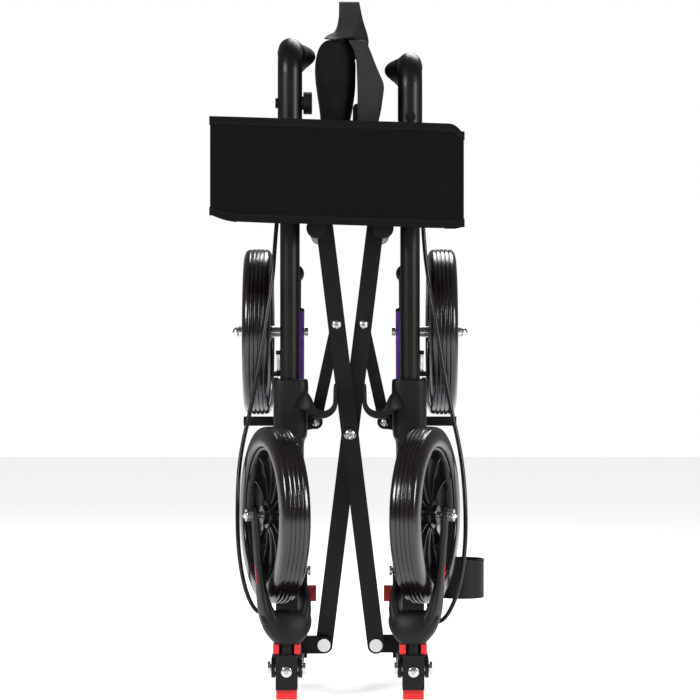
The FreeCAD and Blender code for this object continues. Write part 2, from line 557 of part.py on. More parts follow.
def handle(name, side):
    lift = SIZE["left_handle_lift"] if side < 0 else 0
    across = side * SIZE["upright_across"]
    axis_height = SIZE["handle_axis_height"] + lift
    bend, foot = SIZE["handle_bend"], SIZE["handle_foot"] + lift
    wall = "Sizes.upright_radius + Sizes.running_gap"
    radius = cell("handle_radius")
    rise = "Sizes.handle_axis_height - Sizes.handle_bend - Sizes.handle_foot"
    post = cylinder("handle_post", radius, rise, Vector(across, 0, foot))
    elbow = doc.addObject("Part::Torus", "handle_elbow")
    bind(elbow, Radius1=cell("handle_bend"), Radius2=radius, Angle3=90)
    elbow.Placement = Placement(Vector(across, bend, axis_height - bend),
                                Rotation(Vector(0, -1, 0), UP, Vector(-1, 0, 0), "XYZ"))
    reach = cylinder("handle_reach_tube", radius, cell("handle_reach"),
                     Vector(across, bend, axis_height), BACK)
    bracket = block("lever_bracket", 20, 16, 22, Vector(across - 10, bend + 2, axis_height - 33))
    slot = block("lever_slot", 12.4, 20, 24, Vector(across - 6.2, bend, axis_height - 37))
    pin_hole = cylinder("lever_pin_hole", "3 + Sizes.running_gap", 24,
                        Vector(across - 12, bend + 10, axis_height - SIZE["lever_drop"] - 4), ACROSS)
    bore = cylinder("handle_bore", wall, rise + " - 2", Vector(across, 0, foot - 1))
    knob_turn = 1 if side < 0 else 0
    knob_way = Vector(1, 0, 0) if knob_turn else Vector(0, 1, 0)
    knob_height = SIZE["knob_height"] + lift
    boss = cylinder("knob_boss", 8, 3, Vector(across, 0, knob_height) + knob_way * 12.5, knob_way)
    bolt_end = cylinder("clamp_bolt_end", 6, 4, Vector(across, 0, knob_height) - knob_way * 17, knob_way)
    stud_hole = cylinder("stud_hole", "3 + Sizes.running_gap", 12,
                         Vector(across, 0, knob_height) + knob_way * 8, knob_way)
    solid = fuse("handle_solid", [post, elbow, reach, bracket, boss, bolt_end])
    keep("handle_tube_" + name,
         cut("handle_tube", solid, fuse("handle_hollows", [slot, pin_hole, bore, stud_hole])))
    stud = cylinder("knob_stud", 3, 5, Vector(across, 0, knob_height) + knob_way * 11.7, knob_way)
    dial = cylinder("knob_dial", cell("knob_radius"), cell("knob_length"),
                    Vector(across, 0, knob_height) + knob_way * 15.7, knob_way)
    keep("height_knob_" + name, fuse("height_knob", [stud, dial]))

    start = Vector(across, bend + 26, axis_height)
    sleeve_grip = cylinder("grip_sleeve", cell("grip_radius"), cell("grip_length"), start, BACK)
    wing = doc.addObject("Part::Ellipsoid", "grip_wing")
    bind(wing, Radius1=9, Radius2=24, Radius3=38)
    wing.Angle1, wing.Angle2, wing.Angle3 = -90, 90, 360
    wing.Placement = Placement(start + Vector(-side * 6, 66, 2), Rotation(BACK, side * 12))
    hollow = cylinder("grip_hollow", "Sizes.handle_radius + Sizes.seat_gap",
                      bend + SIZE["handle_reach"] - start.y + 0.05, start, BACK)
    front_trim = block("wing_trim", 80, 30, 40, Vector(across - 40, start.y - 30, axis_height - 20))
    keep("grip_" + name, cut("grip", fuse("grip_solid", [sleeve_grip, wing]),
                             fuse("grip_hollows", [hollow, front_trim])))
    pivot = Vector(across, bend + 10, axis_height - SIZE["lever_drop"] - 4)
    plate = block("lever_bar", cell("lever_width"), cell("lever_length"), cell("lever_thickness"),
                  pivot + Vector(-6, 0, -11))
    root = cylinder("lever_root", 7, 12, pivot + Vector(-6, 0, 0), ACROSS)
    pin = cylinder("lever_pin", 3, 22, pivot + Vector(-11, 0, 0), ACROSS)
    keep("brake_lever_" + name, fuse("brake_lever", [plate, root, pin]))


for name, side in SIDES:
    rear_leg(name, side)
    caster(name, side)
    handle(name, side)
    low_catch = side_block("leg_catch_tab", side, 40, 50, 44, 58, 88, 106)
    catch_root = side_block("leg_catch_root", side, 46, 50.2, 30, 58, 88, 96)
    keep("rear_latch_" + name, fuse("rear_latch", [low_catch, catch_root]))


# ---- Soft parts: seat halves, lifting strap, backrest band, brake cables ----

def rail_centre(side):
    across = SIZE["bar_upper"] * math.sin(REST) + SIZE["rail_offset"] * math.cos(REST)
    height = CENTRE_HEIGHT + SIZE["bar_upper"] * math.cos(REST) - SIZE["rail_offset"] * math.sin(REST)
    return Vector(side * across, 0, height)


def strip(label, start, end, thickness, side, front, back):
    """A seat half seen edge-on from the front: thin at its rail, padded on its sitting side."""
    way = (end - start).normalize()
    outward = Vector(way.z, 0, -way.x) * side
    edge = outward * (thickness / 2)
    pad = outward * SIZE["seat_padding"]
    corners = [start + edge, start + way * 30 + pad, end - way * 8 + pad, end - way + pad * 0.7,
               end - edge, start - edge]
    corners = [Vector(corner.x, front, corner.z) for corner in corners]
    face = Part.Face(Part.makePolygon(corners + corners[:1]))
    return face.extrude(Vector(0, back - front, 0))


def soft(label, shape):
    item = doc.addObject("Part::Feature", label)
    item.Shape = shape
    keep(label, item)


SEAT_FOLD = Vector(-9, 0, 0)
left_rail = rail_centre(-1)
SEAT_FOLD.z = left_rail.z + math.sqrt(SIZE["seat_half"] ** 2 - (SEAT_FOLD.x - left_rail.x) ** 2)
right_rail = rail_centre(1)
rail_clear = SIZE["rail_radius"] + 1.5
thick = SIZE["seat_thickness"]
left_way = (SEAT_FOLD - left_rail).normalize()
right_way = (SEAT_FOLD - right_rail).normalize()
left_sheet = strip("seat_left", left_rail + left_way * rail_clear, SEAT_FOLD - left_way * 4, thick, -1,
                   -30, 190)
strap_half = SIZE["strap_width"] / 2
loop_outer = Part.makeBox(strap_half * 2, 36, 74, Vector(-1 - strap_half, 20, SEAT_FOLD.z - 2))
loop_inner = Part.makeBox(strap_half * 2 + 2, 30, 60, Vector(-2 - strap_half, 23, SEAT_FOLD.z + 9))
loop = loop_outer.cut(loop_inner)
soft("seat_left", left_sheet.fuse(loop))
right_sheet = strip("seat_right", right_rail + right_way * rail_clear, SEAT_FOLD - right_way * 26,
                    thick, 1, -30, 190)
soft("seat_right", right_sheet)

BAND_TILT = math.tan(math.radians(1.8))
BAND_LEFT, BAND_RIGHT = -160, -160 + SIZE["band_length"]
BAND_FOOT = 534


def band_panel_piece(label, near, far):
    """A vertical sheet between two plan points (x, y), its foot following the band's slope."""
    thickness = SIZE["band_thickness"]
    way = Vector(far[0] - near[0], far[1] - near[1], 0).normalize()
    edge = Vector(-way.y, way.x, 0) * (thickness / 2)
    corners = []
    for point, sign in ((near, 1), (far, 1), (far, -1), (near, -1)):
        foot = BAND_FOOT - (point[0] - BAND_LEFT) * BAND_TILT
        corners.append(Vector(point[0], point[1], foot) + edge * sign)
    face = Part.makeLoft([Part.makePolygon(corners[:2] + corners[2:] + corners[:1]),
                          Part.makePolygon([corner + Vector(0, 0, SIZE["band_height"])
                                            for corner in corners + corners[:1]])], True)
    soft(label, face)


band_panel_piece("band_panel", (BAND_LEFT, -48), (BAND_RIGHT, -48))
band_panel_piece("band_return_left", (BAND_LEFT + 2, -45), (-59, -21))
band_panel_piece("band_return_right", (BAND_RIGHT - 2, -45), (59, -21))

# Brake cables: (distance from the middle, y, z) from the upright's grommet to the stop on the leg.
CABLE_LEFT = [
    (84.5, 4, 545), (87.5, 5, 512), (90, 3, 470), (97, -9, 422), (105, -17, 370), (115, -23, 316),
    (127.5, -30, 262), (129.5, -45, 206), (128, -50, 152), (120, -41, 106), (107, -20, 79),
    (95, 6, 82), (91, 32, 104), (90, 52, 150), (89.5, 62, 200), (89.3, 70, 250), (89.3, 77, 300),
    (88.5, 88, 352),
]
CABLE_RIGHT = [
    (84.5, 4, 545), (86, 5, 512), (91, 3, 470), (99, -9, 422), (107, -17, 370), (117, -23, 316),
    (129, -30, 262), (133, -45, 206), (132, -50, 152), (124, -41, 104), (110, -22, 73),
    (98, 3, 67), (93, 30, 78), (91, 52, 112), (90, 61, 158), (89.5, 65, 206), (89.3, 71, 254),
    (89.3, 78, 302), (88.5, 88, 352),
]


def rounded_wire(points):
    """Straight runs joined by tangent arcs as large as the shorter run allows."""
    edges, last = [], points[0]
    for before, corner, after in zip(points, points[1:], points[2:]):
        inward, outward = (before - corner), (after - corner)
        turn = math.pi - inward.getAngle(outward)
        reach = 0.45 * min(inward.Length, outward.Length)
        start = corner + inward.normalize() * reach
        end = corner + outward.normalize() * reach
        middle_way = (inward + outward).normalize()
        radius = reach / math.tan(turn / 2)
        centre = corner + middle_way * math.hypot(reach, radius)
        through = centre - middle_way * radius
        edges.append(Part.LineSegment(last, start).toShape())
        edges.append(Part.Arc(start, through, end).toShape())
        last = end
    edges.append(Part.LineSegment(last, points[-1]).toShape())
    return Part.Wire(edges)


for name, side, route in (("left", -1, CABLE_LEFT), ("right", 1, CABLE_RIGHT)):
    points = [Vector(side * across, depth, height) for across, depth, height in route]
    path = rounded_wire(points)
    way = (points[1] - points[0]).normalize()
    section = Part.Wire(Part.Circle(points[0], way, SIZE["cable_radius"]).toShape())
    tube = path.makePipeShell([section], True, True)
    expected = math.pi * SIZE["cable_radius"] ** 2 * path.Length
    if abs(tube.Volume / expected - 1) > 0.02:
        raise RuntimeError("brake cable volume is off")
    radii = [edge.Curve.Radius for edge in path.Edges if isinstance(edge.Curve, Part.Circle)]
    print(name, "cable length", round(path.Length, 1), "tightest bend", round(min(radii), 1))
    soft("brake_cable_" + name, tube)

doc.recompute()
faults = [item.Name for item in doc.Objects if {"Invalid", "Error"} & set(item.State)]
if faults:
    raise RuntimeError("objects left invalid: " + ", ".join(faults))
for label, item in nodes.items():
    if item.Shape.isNull() or not item.Shape.isValid():
        raise RuntimeError(label + " has no valid shape")
os.makedirs("parts", exist_ok=True)
for label, item in nodes.items():
    item.Shape.exportStep("parts/" + label + ".step")
whole = Part.makeCompound([item.Shape for item in nodes.values()]).BoundBox
print(len(nodes), "pieces;", "X", round(whole.XMin, 1), round(whole.XMax, 1), "Y",
      round(whole.YMin, 1), round(whole.YMax, 1), "Z", round(whole.ZMin, 1), round(whole.ZMax, 1))
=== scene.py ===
import bmesh
import bpy
import math
from mathutils import Matrix, Vector


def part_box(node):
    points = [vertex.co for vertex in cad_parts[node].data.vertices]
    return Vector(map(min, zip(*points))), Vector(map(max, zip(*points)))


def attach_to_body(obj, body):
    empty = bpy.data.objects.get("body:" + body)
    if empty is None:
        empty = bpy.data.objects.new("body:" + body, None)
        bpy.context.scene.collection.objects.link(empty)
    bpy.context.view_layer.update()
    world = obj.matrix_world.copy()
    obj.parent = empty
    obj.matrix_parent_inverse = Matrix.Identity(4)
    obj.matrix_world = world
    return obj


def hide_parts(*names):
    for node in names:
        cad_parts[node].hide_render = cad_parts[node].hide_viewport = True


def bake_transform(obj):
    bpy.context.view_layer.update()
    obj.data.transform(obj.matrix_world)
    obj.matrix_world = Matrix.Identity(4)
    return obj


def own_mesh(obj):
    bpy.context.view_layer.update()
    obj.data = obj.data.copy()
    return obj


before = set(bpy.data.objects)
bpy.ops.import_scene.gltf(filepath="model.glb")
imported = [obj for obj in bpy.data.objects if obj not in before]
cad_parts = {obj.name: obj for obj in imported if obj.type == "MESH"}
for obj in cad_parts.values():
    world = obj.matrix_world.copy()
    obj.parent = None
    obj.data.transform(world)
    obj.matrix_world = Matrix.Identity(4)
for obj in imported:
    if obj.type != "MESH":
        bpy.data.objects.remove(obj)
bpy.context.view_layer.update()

scene = bpy.context.scene

# ---- Studio: level long-lens camera in front, pale floor and white backdrop, large soft lights ----

LENS_MM, VIEW_DISTANCE, VIEW_HEIGHT = 130.6, 2.96, 0.39
camera_data = bpy.data.cameras.new("camera")
camera_data.lens, camera_data.sensor_width = LENS_MM, 36
camera_data.shift_y = -0.0057
camera = bpy.data.objects.new("camera", camera_data)
camera.location = (0, -VIEW_DISTANCE, VIEW_HEIGHT)
camera.rotation_euler = (math.pi / 2, 0, 0)
scene.collection.objects.link(camera)
scene.camera = camera

world = bpy.data.worlds.new("studio")
world.use_nodes = True
world.node_tree.nodes["Background"].inputs["Color"].default_value = (1, 1, 1, 1)
world.node_tree.nodes["Background"].inputs["Strength"].default_value = 0.16
scene.world = world
backdrop_light = world.node_tree.nodes.new("ShaderNodeBackground")
backdrop_light.inputs["Color"].default_value = (1, 1, 1, 1)
backdrop_light.inputs["Strength"].default_value = 1.0
seen_or_lit = world.node_tree.nodes.new("ShaderNodeMixShader")
ray_kind = world.node_tree.nodes.new("ShaderNodeLightPath")
world.node_tree.links.new(ray_kind.outputs["Is Camera Ray"], seen_or_lit.inputs[0])
world.node_tree.links.new(world.node_tree.nodes["Background"].outputs[0], seen_or_lit.inputs[1])
world.node_tree.links.new(backdrop_light.outputs[0], seen_or_lit.inputs[2])
world.node_tree.links.new(seen_or_lit.outputs[0], world.node_tree.nodes["World Output"].inputs["Surface"])
scene.view_settings.view_transform = "Standard"


def soft_light(name, place, aim, size, watts):
    data = bpy.data.lights.new(name, "AREA")
    data.shape, data.size, data.energy = "SQUARE", size, watts
    light = bpy.data.objects.new(name, data)
    light.location = place
    light.rotation_euler = (Vector(aim) - Vector(place)).to_track_quat("-Z", "Y").to_euler()
    scene.collection.objects.link(light)


soft_light("left_key", (-1.6, -1.5, 1.4), (0, 0, 0.4), 0.7, 40)
soft_light("right_fill", (1.7, -1.3, 1.0), (0, 0, 0.35), 0.7, 30)
soft_light("top_rim", (0.3, 1.2, 1.8), (0, 0, 0.5), 0.9, 18)

floor_mesh = bpy.data.meshes.new("floor")
floor_mesh.from_pydata([(-6, -6, -0.001), (6, -6, -0.001), (6, 6, -0.001), (-6, 6, -0.001)], [],
                       [(0, 1, 2, 3)])
floor = bpy.data.objects.new("floor", floor_mesh)
floor_paint = bpy.data.materials.new("floor_white")
floor_paint.use_nodes = True
floor_paint.node_tree.nodes["Principled BSDF"].inputs["Base Color"].default_value = (0.93, 0.93, 0.93, 1)
floor_paint.node_tree.nodes["Principled BSDF"].inputs["Roughness"].default_value = 0.75
floor_shader = floor_paint.node_tree.nodes["Principled BSDF"]
floor_shader.inputs["Emission Color"].default_value = (1, 1, 1, 1)
floor_shader.inputs["Emission Strength"].default_value = 0.72
floor_mesh.materials.append(floor_paint)
scene.collection.objects.link(floor)

SIDES = (("left", -1), ("right", 1))
MM = 0.001

# ---- Side frame tubes ----
# Each side is a purple lacquered steel tube with a black powder-coated upright pressed in its top.
# Powder coat has a fine orange peel; the lacquer is smoother and glossier.


def wire(tree, *pairs):
    for start, end in pairs:
        tree.links.new(start, end)


def coated(name, colour, roughness, grain, depth, coat=0.0, metal=0.0, patch=0.25, shine=0.22):
    """A finish with fine grain in its surface and slow changes in gloss and tone."""
    material = bpy.data.materials.new(name)
    material.use_nodes = True
    tree = material.node_tree
    shader = tree.nodes["Principled BSDF"]
    place = tree.nodes.new("ShaderNodeTexCoord")
    fine = tree.nodes.new("ShaderNodeTexNoise")
    fine.inputs["Scale"].default_value = grain
    fine.inputs["Detail"].default_value = 4
    slow = tree.nodes.new("ShaderNodeTexNoise")
    slow.inputs["Scale"].default_value = 28
    slow.inputs["Detail"].default_value = 5
    bump = tree.nodes.new("ShaderNodeBump")
    bump.inputs["Strength"].default_value = depth
    bump.inputs["Distance"].default_value = 0.0004
    tone = tree.nodes.new("ShaderNodeValToRGB")
    tone.color_ramp.elements[0].position = 0.35
    tone.color_ramp.elements[1].position = 0.7
    tone.color_ramp.elements[0].color = (*[c * (1 - patch) for c in colour], 1)
    tone.color_ramp.elements[1].color = (*[min(1, c * (1 + patch)) for c in colour], 1)
    gloss = tree.nodes.new("ShaderNodeMapRange")
    gloss.inputs["To Min"].default_value = max(0.02, roughness - 0.07)
    gloss.inputs["To Max"].default_value = min(1, roughness + 0.09)
    for noise in (fine, slow):
        tree.links.new(place.outputs["Object"], noise.inputs["Vector"])
    tree.links.new(slow.outputs["Fac"], tone.inputs["Fac"])
    tree.links.new(tone.outputs["Color"], shader.inputs["Base Color"])
    tree.links.new(slow.outputs["Fac"], gloss.inputs["Value"])
    tree.links.new(gloss.outputs["Result"], shader.inputs["Roughness"])
    tree.links.new(fine.outputs["Fac"], bump.inputs["Height"])
    tree.links.new(bump.outputs["Normal"], shader.inputs["Normal"])
    shader.inputs["Metallic"].default_value = metal
    shader.inputs["Specular IOR Level"].default_value = shine
    shader.inputs["Coat Weight"].default_value = coat
    shader.inputs["Coat Roughness"].default_value = 0.12
    return material


def dress(material, *names):
    for name in names:
        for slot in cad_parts[name].material_slots:
            slot.material = material


black_paint = coated("black_powder_coat", (0.0045, 0.0045, 0.005), 0.36, 900, 0.25, coat=0.05)
purple_paint = coated("purple_lacquer", (0.14, 0.05, 0.38), 0.25, 500, 0.1, coat=0.5)
for side, sign in SIDES:
    dress(black_paint, "upright_" + side, "guide_link_" + side, "brake_arm_" + side)
    dress(purple_paint, "frame_tube_" + side, "rear_leg_" + side)
dress(black_paint, "brace_bar_a", "brace_bar_b")

# ---- Mouldings and castings ----
# Sleeves, foot castings, caster boxes, pedals, knobs and the cane cup are glass-filled nylon,
# black with a fine spark texture; the catches and release pads are glossy red.

black_moulding = coated("black_nylon", (0.005, 0.005, 0.0055), 0.46, 1400, 0.35)
red_moulding = coated("red_nylon", (0.72, 0.012, 0.014), 0.3, 700, 0.12, coat=0.3, patch=0.12)
steel = coated("zinc_plate", (0.62, 0.62, 0.64), 0.22, 600, 0.1, metal=1.0, patch=0.1)
dress(black_moulding, "cane_cup")
for side, sign in SIDES:
    dress(black_moulding, "sleeve_" + side, "base_casting_" + side, "tip_pedal_" + side,
          "caster_box_" + side, "height_knob_" + side, "brake_lever_" + side)
    dress(black_paint, "handle_tube_" + side)
    dress(red_moulding, "rear_latch_" + side, "front_latch_" + side, "caster_release_" + side)
    dress(steel, "frame_bolts_" + side, "rear_axle_" + side, "front_axle_" + side)

# ---- Tyres ----
# Solid glossy black polyurethane, rounded shoulders and four fine grooves round the tread.

tyre_rubber = coated("tyre_polyurethane", (0.006, 0.0042, 0.0036), 0.2, 300, 0.12, coat=0.35, shine=0.5)
TYRE_RADIUS, TYRE_WIDTH, TYRE_BORE = 0.0995, 0.033, 0.0765


def finished(name, mesh, material, smooth=True):
    mesh.materials.clear()
    mesh.materials.append(material)
    mesh.polygons.foreach_set("use_smooth", [smooth] * len(mesh.polygons))
    piece = bpy.data.objects.new(name, mesh)
    scene.collection.objects.link(piece)
    return piece


def lathe(name, profile, steps, place, closed=True):
    """Turn a closed profile of (radius, along) about local Y and put it in place."""
    mesh = bpy.data.meshes.new(name)
    count = len(profile)
    verts, faces = [], []
    for step in range(steps):
        angle = 2 * math.pi * step / steps
        for radius, along in profile:
            verts.append(place @ Vector((radius * math.cos(angle), along, radius * math.sin(angle))))
    for step in range(steps):
        following = (step + 1) % steps
        for index in range(count if closed else count - 1):
            after = (index + 1) % count
            faces.append((step * count + index, step * count + after,
                          following * count + after, following * count + index))
    mesh.from_pydata(verts, [], faces)
    work = bmesh.new()
    work.from_mesh(mesh)
    bmesh.ops.remove_doubles(work, verts=work.verts, dist=1e-7)
    bmesh.ops.recalc_face_normals(work, faces=work.faces)
    work.to_mesh(mesh)
    work.free()
    return mesh


def tyre_profile():
    half = TYRE_WIDTH / 2
    points = [(TYRE_BORE, half - 0.003), (TYRE_BORE, -half + 0.003)]
    for step in range(7):
        turn = math.pi / 2 * step / 6
        points.append((TYRE_BORE + 0.004 - 0.004 * math.cos(turn), -half + 0.003 - 0.003 * math.sin(turn)))
    tread = []
    for step in range(61):
        across = -half + TYRE_WIDTH * step / 60
        edge = min(1.0, abs(across) / half)
        crown = TYRE_RADIUS - 0.0075 * edge ** 9 - 0.0012 * edge ** 2
        for groove in (-0.0072, -0.0026, 0.0026, 0.0072):
            if abs(across - groove) < 0.00055:
                crown -= 0.0014
        tread.append((crown, across))
    for step in range(7):
        turn = math.pi / 2 * (1 - step / 6)
        tread.append((TYRE_BORE + 0.004 - 0.004 * math.cos(turn), half - 0.003 + 0.003 * math.sin(turn)))
    return points + tread


wheel_places = {}
for side, sign in SIDES:
    for axle in ("rear", "front"):
        low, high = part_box(axle + "_rim_" + side)
        centre = (low + high) / 2
        angle = 0 if axle == "rear" else -sign * math.radians(17)
        place = Matrix.Translation(centre) @ Matrix.Rotation(angle - math.pi / 2, 4, "Z")
        wheel_places[axle, side] = place
        tyre = finished(axle + "_tyre_skin_" + side, lathe("tyre", tyre_profile(), 160, place), tyre_rubber)
        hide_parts(axle + "_tyre_" + side)
        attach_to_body(tyre, axle + "_wheel_" + side)

# ---- Rims ----
# Moulded gloss black nylon: a deep ring, twelve thin tapering spokes and a stepped hub.


def settled(work, name):
    """End a bmesh as a mesh whose faces point outwards."""
    bmesh.ops.recalc_face_normals(work, faces=work.faces)
    mesh = bpy.data.meshes.new(name)
    work.to_mesh(mesh)
    work.free()
    return mesh


gloss_moulding = coated("gloss_black_nylon", (0.004, 0.004, 0.0045), 0.24, 500, 0.1, coat=0.3)


def spoke_mesh(work, place, angle):
    stations = [(0.013, 0.0085, 0.0030), (0.022, 0.0060, 0.0019), (0.045, 0.0042, 0.0014),
                (0.063, 0.0052, 0.0018), (0.0735, 0.0090, 0.0030)]
    turn = place @ Matrix.Rotation(angle, 4, "Y")
    rings = []
    for radius, half_wide, half_thick in stations:
        ring = []
        for step in range(8):
            around = 2 * math.pi * step / 8 + math.pi / 8
            ring.append(work.verts.new(turn @ Vector((radius, half_wide * math.cos(around),
                                                      half_thick * math.sin(around)))))
        rings.append(ring)
    for lower, upper in zip(rings, rings[1:]):
        for step in range(8):
            work.faces.new((lower[step], lower[(step + 1) % 8], upper[(step + 1) % 8], upper[step]))
    work.faces.new(rings[0])
    work.faces.new(list(reversed(rings[-1])))


for (axle, side), place in wheel_places.items():
    ring = [(0.0765, -0.0115), (0.0765, 0.0115), (0.0752, 0.0125), (0.0733, 0.0118), (0.0722, 0.0095),
            (0.0718, 0.0), (0.0722, -0.0095), (0.0733, -0.0118), (0.0752, -0.0125)]
    hub = [(0.0043, -0.015), (0.0043, 0.015), (0.0105, 0.015), (0.0112, 0.0142), (0.0112, 0.0105),
           (0.0150, 0.0095), (0.0160, 0.006), (0.0160, -0.006), (0.0150, -0.0095), (0.0112, -0.0105),
           (0.0112, -0.0142), (0.0105, -0.015)]
    work = bmesh.new()
    work.from_mesh(lathe("ring", ring, 120, place))
    work.from_mesh(lathe("hub", hub, 48, place))
    for index in range(12):
        spoke_mesh(work, place, math.pi / 6 * index)
    mesh = settled(work, "rim")
    rim = finished(axle + "_rim_skin_" + side, mesh, gloss_moulding)
    mesh.set_sharp_from_angle(angle=math.radians(35))
    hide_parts(axle + "_rim_" + side)
    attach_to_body(rim, axle + "_wheel_" + side)

# ---- Forks ----
# Each is one glass-filled nylon moulding: a round crown on the caster neck that opens like a bowl
# into two tapering arms, with a thin red line let into the outer arm. It turns on its caster box.

ARM_STATIONS = (((0.006, -0.003, 0.070), 0.0130, 0.0120), ((0.0160, 0.000, 0.080), 0.0165, 0.0095),
                ((0.0228, 0.006, 0.094), 0.0185, 0.0062), ((0.0240, 0.016, 0.111), 0.0168, 0.0046),
                ((0.0232, 0.031, 0.136), 0.0118, 0.0034), ((0.0228, 0.042, 0.163), 0.0098, 0.0032),
                ((0.0226, 0.049, 0.186), 0.0092, 0.0032), ((0.0226, 0.052, 0.2), 0.0092, 0.0032),
                ((0.0226, 0.0533, 0.2065), 0.0062, 0.0028), ((0.0226, 0.0538, 0.2086), 0.0025, 0.0020))
CROWN_RINGS = ((0.0605, 0.0125, 0.0125, -0.002), (0.0620, 0.0150, 0.0150, -0.002),
               (0.0670, 0.0195, 0.0175, -0.002), (0.0740, 0.0255, 0.0195, -0.001),
               (0.0830, 0.0290, 0.0205, 0.001), (0.0920, 0.0290, 0.0195, 0.004),
               (0.0970, 0.0255, 0.0165, 0.005), (0.0955, 0.0200, 0.0130, 0.005),
               (0.0925, 0.0080, 0.0080, 0.004))


def skin_rings(work, rings):
    """Join rings of the same count of points into a closed tube with capped ends."""
    made = [[work.verts.new(point) for point in ring] for ring in rings]
    for lower, upper in zip(made, made[1:]):
        for step in range(len(lower)):
            after = (step + 1) % len(lower)
            work.faces.new((lower[step], lower[after], upper[after], upper[step]))
    work.faces.new(list(reversed(made[0])))
    work.faces.new(made[-1])


def squarish(step, count, wide, deep, power=0.72):
    angle = 2 * math.pi * step / count
    across, along = math.cos(angle), math.sin(angle)
    return (math.copysign(abs(across) ** power, across) * wide,
            math.copysign(abs(along) ** power, along) * deep)


def as_mesh(holder):
    """The plain mesh of an object with its modifiers or bevel applied; the object is removed."""
    mesh = bpy.data.meshes.new_from_object(holder.evaluated_get(bpy.context.evaluated_depsgraph_get()))
    bpy.data.objects.remove(holder)
    return mesh


def smoothed(work, levels, name):
    """Turn a bmesh into a mesh, rounded by subdivision."""
    holder = bpy.data.objects.new(name, settled(work, name))
    scene.collection.objects.link(holder)
    rounder = holder.modifiers.new("round", "SUBSURF")
    rounder.levels = rounder.render_levels = levels
    return as_mesh(holder)


fork_places = {}
for side, sign in SIDES:
    turn = Matrix.Translation((sign * 0.07, -0.15, 0)) @ Matrix.Rotation(-sign * math.radians(17), 4, "Z")
    fork_places[side] = turn
    work = bmesh.new()
    for arm in (-1, 1):
        rings = []
        for index, (centre, wide, thick) in enumerate(ARM_STATIONS):
            before = Vector(ARM_STATIONS[max(0, index - 1)][0])
            after = Vector(ARM_STATIONS[min(len(ARM_STATIONS) - 1, index + 1)][0])
            way = (after - before).normalized()
            outward = Vector((1, 0, 0))
            outward = (outward - way * outward.dot(way)).normalized()
            broad = way.cross(outward)
            ring = []
            for step in range(16):
                a, b = squarish(step, 16, wide, thick)
                point = Vector(centre) + broad * a + outward * b
                ring.append(turn @ Vector((point.x * arm, point.y, point.z)))
            rings.append(ring)
        skin_rings(work, rings)
    rings = []
    for height, wide, deep, back in CROWN_RINGS:
        ring = []
        for step in range(24):
            a, b = squarish(step, 24, wide, deep, 0.88)
            ring.append(turn @ Vector((a, b + back, height)))
        rings.append(ring)
    skin_rings(work, rings)
    fork = finished("fork_skin_" + side, smoothed(work, 1, "fork"), black_moulding)
    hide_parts("fork_" + side)
    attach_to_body(fork, "fork_" + side)
    line = bmesh.new()
    rings = []
    for step in range(9):
        share = step / 8
        lower, upper = Vector((0.0272, 0.0255, 0.124)), Vector((0.0264, 0.0365, 0.147))
        centre = lower.lerp(upper, share)
        wide = 0.0009 * math.sin(math.pi * (0.08 + 0.84 * share)) ** 0.5
        rings.append([turn @ Vector((sign * (centre.x + b), centre.y + a, centre.z))
                      for a, b in (squarish(k, 8, wide, 0.0007) for k in range(8))])
    skin_rings(line, rings)
    stripe = finished("fork_line_" + side, settled(line, "fork_line"), red_moulding)
    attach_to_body(stripe, "fork_" + side)

# ---- Grips ----
# Soft moulded rubber sleeves over the handle tubes, each with a flat palm rest swelling inwards.
# They are pushed on and held by the rubber's own grip.

grip_rubber = coated("grip_rubber", (0.010, 0.010, 0.011), 0.62, 1800, 0.5, patch=0.3)
GRIP_FRONT, GRIP_BACK = 0.056, 0.162
for side, sign in SIDES:
    low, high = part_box("grip_" + side)
    axis_height = (low.z + high.z) / 2
    work = bmesh.new()
    rings = []
    for step in range(28):
        share = step / 27
        along = GRIP_FRONT + (GRIP_BACK - GRIP_FRONT) * share
        end = min(1.0, 0.9 + 12 * min(share, 1 - share))
        radius = (0.0158 + 0.0008 * math.sin(share * math.pi * 9) ** 2) * end
        rest = math.exp(-((share - 0.56) / 0.30) ** 2)
        ring = []
        for turn in range(32):
            angle = 2 * math.pi * turn / 32
            inward = max(0.0, math.cos(angle - 0.25))
            outward = max(0.0, -math.cos(angle - 0.1))
            reach = radius + 0.0130 * rest * inward ** 2.6 + 0.0008 * rest * outward ** 3
            flat = 1 - 0.28 * rest * inward ** 2
            ring.append(Vector((sign * 0.07 - sign * reach * math.cos(angle), along,
                                axis_height + reach * math.sin(angle) * flat)))
        rings.append(ring)
    skin_rings(work, rings)
    grip = finished("grip_skin_" + side, smoothed(work, 1, "grip"), grip_rubber)
    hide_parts("grip_" + side)
    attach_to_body(grip, "handle_" + side)

# ---- Bolts, nuts and screws ----
# Bright zinc dome heads and nuts through the braces, links, tubes, forks and caster boxes.
# The heads are lathed once and set at their places, each facing the way its bolt runs.


def head_object(name, profile):
    mesh = lathe(name, profile, 24, Matrix.Identity(4), closed=False)
    mesh.polygons.foreach_set("use_smooth", [True] * len(mesh.polygons))
    mesh.set_sharp_from_angle(angle=math.radians(50))
    head = bpy.data.objects.new(name, mesh)
    scene.collection.objects.link(head)
    return head


